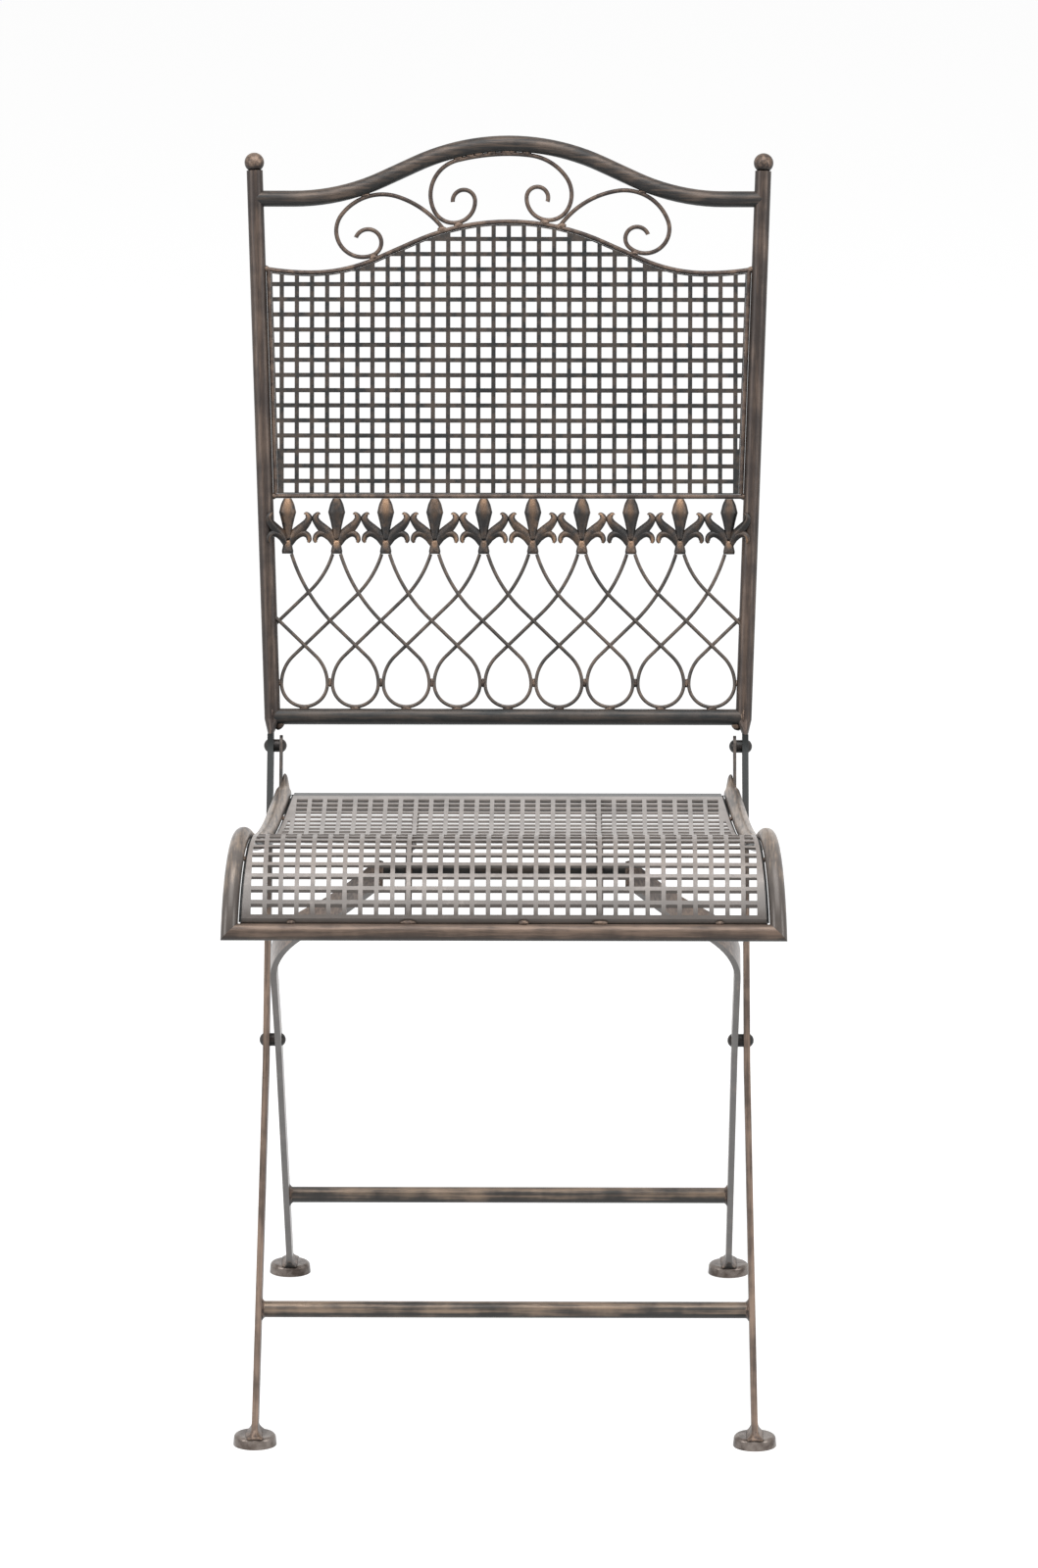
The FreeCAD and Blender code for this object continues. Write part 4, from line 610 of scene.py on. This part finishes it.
# Sizes in millimetres, heights up the back from the seat pivot
CASTINGS = 10
CASTING_PITCH = 36.5
CASTING_LOW = 142.9
CASTING_HIGH = 184.0
CASTING_REACH = 18.2
END_LEAF_TURN = math.radians(31.0)  # the outermost leaves turn forward, off the posts
CAP_RIDGES = (0.2, 0.9)  # ridge shares at the two end caps of a lobe


def spine_through(shares, steps):
    """Smooth line through outline shares of a casting: x in shares of its reach, y in
    shares of its height, eased by a Catmull-Rom curve."""
    points = np.array(shares, float)
    padded = np.concatenate([2 * points[:1] - points[1:2], points,
                             2 * points[-1:] - points[-2:-1]])
    t = np.linspace(0, len(points) - 1, steps)
    k = np.minimum(t.astype(int), len(points) - 2)
    f = (t - k)[:, None]
    a, b, c, d = (padded[k + i] for i in range(4))
    return 0.5 * (2 * b + (c - a) * f + (2 * a - 5 * b + 4 * c - d) * f ** 2
                  + (3 * b - a - 3 * c + d) * f ** 3)


def ridged_lobe(spine, wide, deep, steps=22, sharp=1.35):
    """Closed lobe along a flat line, as local points and ridge shares.

    Its section is cos a by sin a, each to the power sharp: a rounded diamond with a
    ridge down its front and back. wide and deep are half sizes in millimetres at even
    places along the line. The ridge share is (0.2 + 0.8 t^1.5) sin(a)^2 at share t.
    """
    line = spine_through(spine, steps)
    line = line * (CASTING_REACH, CASTING_HIGH - CASTING_LOW)
    ahead = np.gradient(line, axis=0)
    ahead /= np.linalg.norm(ahead, axis=1)[:, None]
    side = np.stack([-ahead[:, 1], ahead[:, 0]], axis=1)
    t = np.linspace(0, 1, steps)
    half_wide = np.interp(t, np.linspace(0, 1, len(wide)), wide)
    half_deep = np.interp(t, np.linspace(0, 1, len(deep)), deep)
    a = np.linspace(0, 2 * math.pi, 20, endpoint=False)
    across = np.sign(np.cos(a)) * np.abs(np.cos(a)) ** sharp
    depth = np.sign(np.sin(a)) * np.abs(np.sin(a)) ** sharp
    flat = line[:, None, :] + side[:, None, :] * (half_wide[:, None] * across)[..., None]
    forward = half_deep[:, None] * depth[None, :]
    ridge = (0.2 + 0.8 * t[:, None] ** 1.5) * np.abs(np.sin(a)) ** 2
    points = np.concatenate([flat, forward[..., None]], axis=2)
    points[..., 1] += CASTING_LOW
    return points, np.concatenate([ridge.ravel(), CAP_RIDGES])


BUD = ridged_lobe([(0, 0.26), (0, 0.42), (0, 0.58), (0, 0.75), (0, 0.90), (0, 1.0)],
                  [2.4, 3.2, 4.6, 6.4, 4.9, 2.9], [2.4, 2.8, 3.4, 4.2, 3.2, 2.2],
                  steps=26, sharp=1.08)
UPPER_LOBE = ridged_lobe([(0.05, 0.16), (0.28, 0.34), (0.55, 0.45), (0.80, 0.57),
                          (0.87, 0.66), (0.76, 0.725), (0.66, 0.72)],
                         [2.6, 4.1, 3.9, 2.9, 2.6, 1.5, 0.3],
                         [2.1, 2.3, 2.2, 2.1, 1.9, 1.3, 0.3])
LOWER_LOBE = ridged_lobe([(0.10, 0.20), (0.35, 0.33), (0.62, 0.37), (0.82, 0.33),
                          (0.88, 0.25), (0.84, 0.20)],
                         [2.4, 3.2, 2.6, 2.3, 1.9, 0.9], [2.0, 2.1, 1.9, 1.8, 1.5, 0.7])
COLLAR = ridged_lobe([(0, 0.0), (0, 0.05), (0, 0.10), (0, 0.16), (0, 0.24)],
                     [4.1, 4.4, 3.9, 3.4, 3.0], [3.6, 4.1, 3.6, 3.1, 2.6],
                     steps=10, sharp=0.9)

# Lobes of one casting: points, ridge shares, if it is a leaf, and if it is mirrored
LOBES = ((*BUD, False, False), (*COLLAR, False, False),
         (*UPPER_LOBE, True, False), (*LOWER_LOBE, True, False),
         (*UPPER_LOBE, True, True), (*LOWER_LOBE, True, True))


def set_in_back(local, middle_x, turn=0.0, mirrored=False):
    """A casting's local points put in the back: turned forward about its middle line,
    mirrored for the left side, and moved to its place across the back."""
    x, y, z = np.moveaxis(local, -1, 0)
    x, z = (x * math.cos(turn) - z * math.sin(turn),
            x * math.sin(turn) + z * math.cos(turn))
    if mirrored:
        x = -x
    return on_back(middle_x + x, y, z)


for number in range(1, CASTINGS + 1):
    node = "fleur_casting_%d" % number
    middle_x = (number - (CASTINGS + 1) / 2) * CASTING_PITCH
    skins, marks = [], []
    for points, ridge, leaf, mirror in LOBES:
        outermost = leaf and number == (1 if mirror else CASTINGS)
        turn = END_LEAF_TURN if outermost else 0.0
        skins.append(closed_grid(set_in_back(points, middle_x, turn, mirror)))
        marks.append(ridge)
    piece = piece_from("cast_fleur_%d" % number, skins, "back_frame", FINISHES["cast"],
                       marks)
    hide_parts(node)

# ---------------------------------------------------------------- weld beads

# Sizes in millimetres, heights up the back from the seat pivot
SCROLL_GAP = 0.5  # a scroll is welded where it comes this near
BORDER_GAP = 0.8
LOOP_GAP = 0.5
LOOPS = 9
LOOP_PITCH = 37.9
LOOP_HALF_WIDE = 18.6
LOOP_SIDES_UP = 47.0
POST_INSIDE = 169.6
UNDER_RAIL_UP = 15.4
TUBE_RADIUS = 6.0
BEARER_RADIUS = 5.0
FILLET_BITE = 0.2
FILLET_LEG = 2.6
FRONT_TACK_BACK = 1.2
FRONT_TACK_UP = 6.6
SIDE_WIRES_FROM = 130.0
SIDE_TACK_DEPTHS = (-215.0, -120.0, 20.0)
SIDE_TACK_POINTS = 24  # points of a side wire that are tried for each tack
BAR_HALF_THICK = 2.25
SKIRT_FLARE = 4.2
SKIRT_HIGH = 6.5
SKIRT_BITE = 0.4

# Half lengths and half widths of the beads
SCROLL_BEAD = (3.4, 2.3)
BORDER_BEAD = (3.0, 2.4)
LOOP_FOOT_BEAD = (3.6, 1.6)
LOOP_SIDE_BEAD = (3.2, 1.5)
LAST_LOOP_BEAD = (2.2, 1.5)
UNDER_RAIL_BEAD = (4.2, 2.9)
SIDE_TACK = (3.2, 1.7)

# Front tacks: place across the chair, and size
FRONT_TACKS = ((14.0, (3.4, 2.2)), (67.5, (5.5, 1.7)), (-67.5, (5.5, 1.7)),
               (-150.0, (3.0, 1.6)), (152.0, (3.0, 1.6)))

# Tubes with a fillet round each end, their bodies and radii
FILLETED = (("front_rung", "back_frame", TUBE_RADIUS),
            ("rear_rung", "rear_legs", TUBE_RADIUS),
            ("seat_bearer", "rear_legs", BEARER_RADIUS),
            ("back_bottom_rail", "back_frame", TUBE_RADIUS),
            ("seat_rear_tube", "seat", TUBE_RADIUS))

# Feet, their bodies, how their leg bars lean, and half the bar's depth on the pad
FEET = (("front", "back_frame", (0.0, 295.0 / 442.0, 1.0), 12.0),
        ("rear", "rear_legs", (0.0, -1.06, 1.0), 14.2))

seeds = iter(range(1, 400))
beads = {"back_frame": [], "rear_legs": [], "seat": []}


def bead(body, middle, along, size):
    """Add a weld bead to a body's welds, with the next seed."""
    beads[body].append(lump(middle, along, *size, next(seeds)))


for side in ("left", "right"):
    for kind in ("scroll_inner_", "scroll_outer_"):
        for support in ("sheet_arch_wire", "top_rail"):
            for middle in touching(kind + side, support, SCROLL_GAP):
                bead("back_frame", middle, (1, 0, 0.1), SCROLL_BEAD)
    for wire in ("sheet_bottom_wire", "sheet_arch_wire"):
        for middle in touching(wire, "back_post_" + side, BORDER_GAP):
            bead("back_frame", middle, (1, 0, 0), BORDER_BEAD)

# Each loop on the bottom rail, and against the next loop's side
for number in range(1, LOOPS + 1):
    x = (number - (LOOPS + 1) / 2) * LOOP_PITCH
    for middle in touching("lattice_loop_%d" % number, "back_bottom_rail", LOOP_GAP):
        bead("back_frame", middle, (1, 0, 0), LOOP_FOOT_BEAD)
    if number < LOOPS:
        bead("back_frame", on_back(x + LOOP_PITCH / 2, LOOP_SIDES_UP), back_up,
             LOOP_SIDE_BEAD)
for way in (-1, 1):
    loops_end = way * (LOOPS // 2 * LOOP_PITCH + LOOP_HALF_WIDE)
    bead("back_frame", on_back(loops_end, LOOP_SIDES_UP), back_up, LAST_LOOP_BEAD)
    # Weld that runs down inside the post under the bottom rail's end
    bead("back_frame", on_back(way * POST_INSIDE, UNDER_RAIL_UP), (way * 0.8, 0, -1.0),
         UNDER_RAIL_BEAD)

for tube, body, radius in FILLETED:
    for end, inward in zip(ends_x(tube), ((1, 0, 0), (-1, 0, 0))):
        beads[body].append(fillet(end, inward, radius - FILLET_BITE, FILLET_LEG,
                                  next(seeds)))

# Tack welds between the seat's front tube and the wire under the sheet's edge
low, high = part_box("seat_front_tube")
tube_middle = (low + high) / 2
for across, size in FRONT_TACKS:
    place = (across * MM, tube_middle.y + FRONT_TACK_BACK * MM,
             tube_middle.z + FRONT_TACK_UP * MM)
    bead("seat", place, (1, 0, 0), size)

# Tack welds between the seat's side tubes and the wires beside them
border_points = mesh_points("seat_border_wires")
for side, way in (("left", -1), ("right", 1)):
    side_tube = surface_of("seat_side_tube_" + side)
    beside = border_points[border_points[:, 0] * way > SIDE_WIRES_FROM * MM]
    for depth in SIDE_TACK_DEPTHS:
        order = np.argsort(np.abs(beside[:, 1] - depth * MM))[:SIDE_TACK_POINTS]
        found = [(side_tube.find_nearest(Vector(point)), point) for point in beside[order]]
        hit, point = min(found, key=lambda pair: pair[0][3])
        bead("seat", (np.array(hit[0]) + point) / 2, (0, 1, 0), SIDE_TACK)

for prefix, body, lean, half_deep in FEET:
    for side in ("left", "right"):
        low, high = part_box("%s_foot_%s" % (prefix, side))
        middle = (low + high) / 2
        top = np.array([middle.x, middle.y, high.z - SKIRT_BITE * MM])
        beads[body].append(skirt(top, lean, BAR_HALF_THICK, half_deep, SKIRT_FLARE,
                                 SKIRT_HIGH, next(seeds)))

for body, skins in beads.items():
    piece_from("weld_beads_" + body, skins, body, FINISHES["weld"])

# ---------------------------------------------------------------- floor, light, camera

WHITE = (1.0, 1.0, 1.0, 1.0)
FLOOR_GREY = (0.42, 0.42, 0.42, 1.0)
FLOOR_GLOW = 0.82
FLOOR_REACH = 9.0
SKY_LIGHT = 0.34  # what the sky gives to lit faces, where 1 is what the camera sees


def shown_directly(tree):
    """Output that is 1 for light seen by the camera or in a reflection, else 0."""
    ray = node_in(tree, "ShaderNodeLightPath")
    either = node_in(tree, "ShaderNodeMath", operation="MAXIMUM")
    tree.links.new(ray.outputs["Is Camera Ray"], either.inputs[0])
    tree.links.new(ray.outputs["Is Glossy Ray"], either.inputs[1])
    return either.outputs["Value"]


def studio_surface(name, glow):
    """White ground: diffuse grey that glows for the camera and in reflections, so that
    it shows white without more light on the chair."""
    material = bpy.data.materials.new(name)
    material.use_nodes = True
    tree = material.node_tree
    tree.nodes.clear()
    out = node_in(tree, "ShaderNodeOutputMaterial")
    strength = node_in(tree, "ShaderNodeMath", operation="MULTIPLY", in_1=glow)
    tree.links.new(shown_directly(tree), strength.inputs[0])
    white = node_in(tree, "ShaderNodeBsdfDiffuse", in_Color=FLOOR_GREY)
    light = node_in(tree, "ShaderNodeEmission", in_Color=WHITE)
    tree.links.new(strength.outputs["Value"], light.inputs["Strength"])
    both = node_in(tree, "ShaderNodeAddShader")
    tree.links.new(white.outputs["BSDF"], both.inputs[0])
    tree.links.new(light.outputs["Emission"], both.inputs[1])
    tree.links.new(both.outputs["Shader"], out.inputs["Surface"])
    return material


floor_mesh = bpy.data.meshes.new("floor")
corners = [(-FLOOR_REACH, -FLOOR_REACH, 0), (FLOOR_REACH, -FLOOR_REACH, 0),
           (FLOOR_REACH, FLOOR_REACH, 0), (-FLOOR_REACH, FLOOR_REACH, 0)]
floor_mesh.from_pydata(corners, [], [(0, 1, 2, 3)])
floor_mesh.materials.append(studio_surface("studio_floor", FLOOR_GLOW))
floor = bpy.data.objects.new("floor", floor_mesh)
bpy.context.scene.collection.objects.link(floor)

world = bpy.data.worlds.new("studio")
bpy.context.scene.world = world
world.use_nodes = True
sky = world.node_tree
sky.nodes.clear()
sky_out = node_in(sky, "ShaderNodeOutputWorld")
level = node_in(sky, "ShaderNodeMapRange", in_To_Min=SKY_LIGHT, in_To_Max=1.0)
sky.links.new(shown_directly(sky), level.inputs["Value"])
air = node_in(sky, "ShaderNodeBackground", in_Color=WHITE)
sky.links.new(level.outputs["Result"], air.inputs["Strength"])
sky.links.new(air.outputs["Background"], sky_out.inputs["Surface"])


def softbox(name, place, target, width, height, power):
    """Large soft lamp that faces a point: place, target and sizes in metres, power in
    watts."""
    lamp = bpy.data.lights.new(name, "AREA")
    lamp.shape = "RECTANGLE"
    lamp.size, lamp.size_y = width, height
    lamp.energy = power
    holder = bpy.data.objects.new(name, lamp)
    holder.location = place
    ahead = Vector(target) - Vector(place)
    holder.rotation_euler = ahead.to_track_quat("-Z", "Y").to_euler()
    bpy.context.scene.collection.objects.link(holder)


CHAIR_MIDDLE = (0.0, 0.0, 0.5)
softbox("overhead", (0.0, -0.9, 3.0), CHAIR_MIDDLE, 2.6, 2.2, 62.0)
softbox("from_left", (-3.0, -1.5, 1.7), CHAIR_MIDDLE, 1.2, 1.8, 40.0)
softbox("from_right", (3.0, -1.5, 1.7), CHAIR_MIDDLE, 1.2, 1.8, 34.0)

# The camera stands about 6.2 m in front of the chair, looking 13.5 degrees down
CAMERA_FAR = 6.1958
CAMERA_HIGH = 1.9355
CAMERA_DOWN = math.radians(13.5)
CAMERA_ROUND = math.radians(0.45)

# Picture measures, in pixels
LONG_SIDE = 1600
FOCAL_PIXELS = 8880.0
MIDDLE_SHIFT = 12.5

lens = bpy.data.cameras.new("photo_view")
lens.sensor_fit = "AUTO"
lens.sensor_width = 36.0
lens.lens = FOCAL_PIXELS / LONG_SIDE * lens.sensor_width
lens.shift_x = MIDDLE_SHIFT / LONG_SIDE
lens.clip_start, lens.clip_end = 0.1, 60.0
camera = bpy.data.objects.new("photo_view", lens)
turn = Matrix.Rotation(CAMERA_ROUND, 4, "Z")
camera.matrix_world = (turn @ Matrix.Translation((0.0, -CAMERA_FAR, CAMERA_HIGH))
                       @ Matrix.Rotation(math.pi / 2 - CAMERA_DOWN, 4, "X"))
bpy.context.scene.collection.objects.link(camera)
bpy.context.scene.camera = camera
bpy.context.scene.view_settings.view_transform = "Standard"
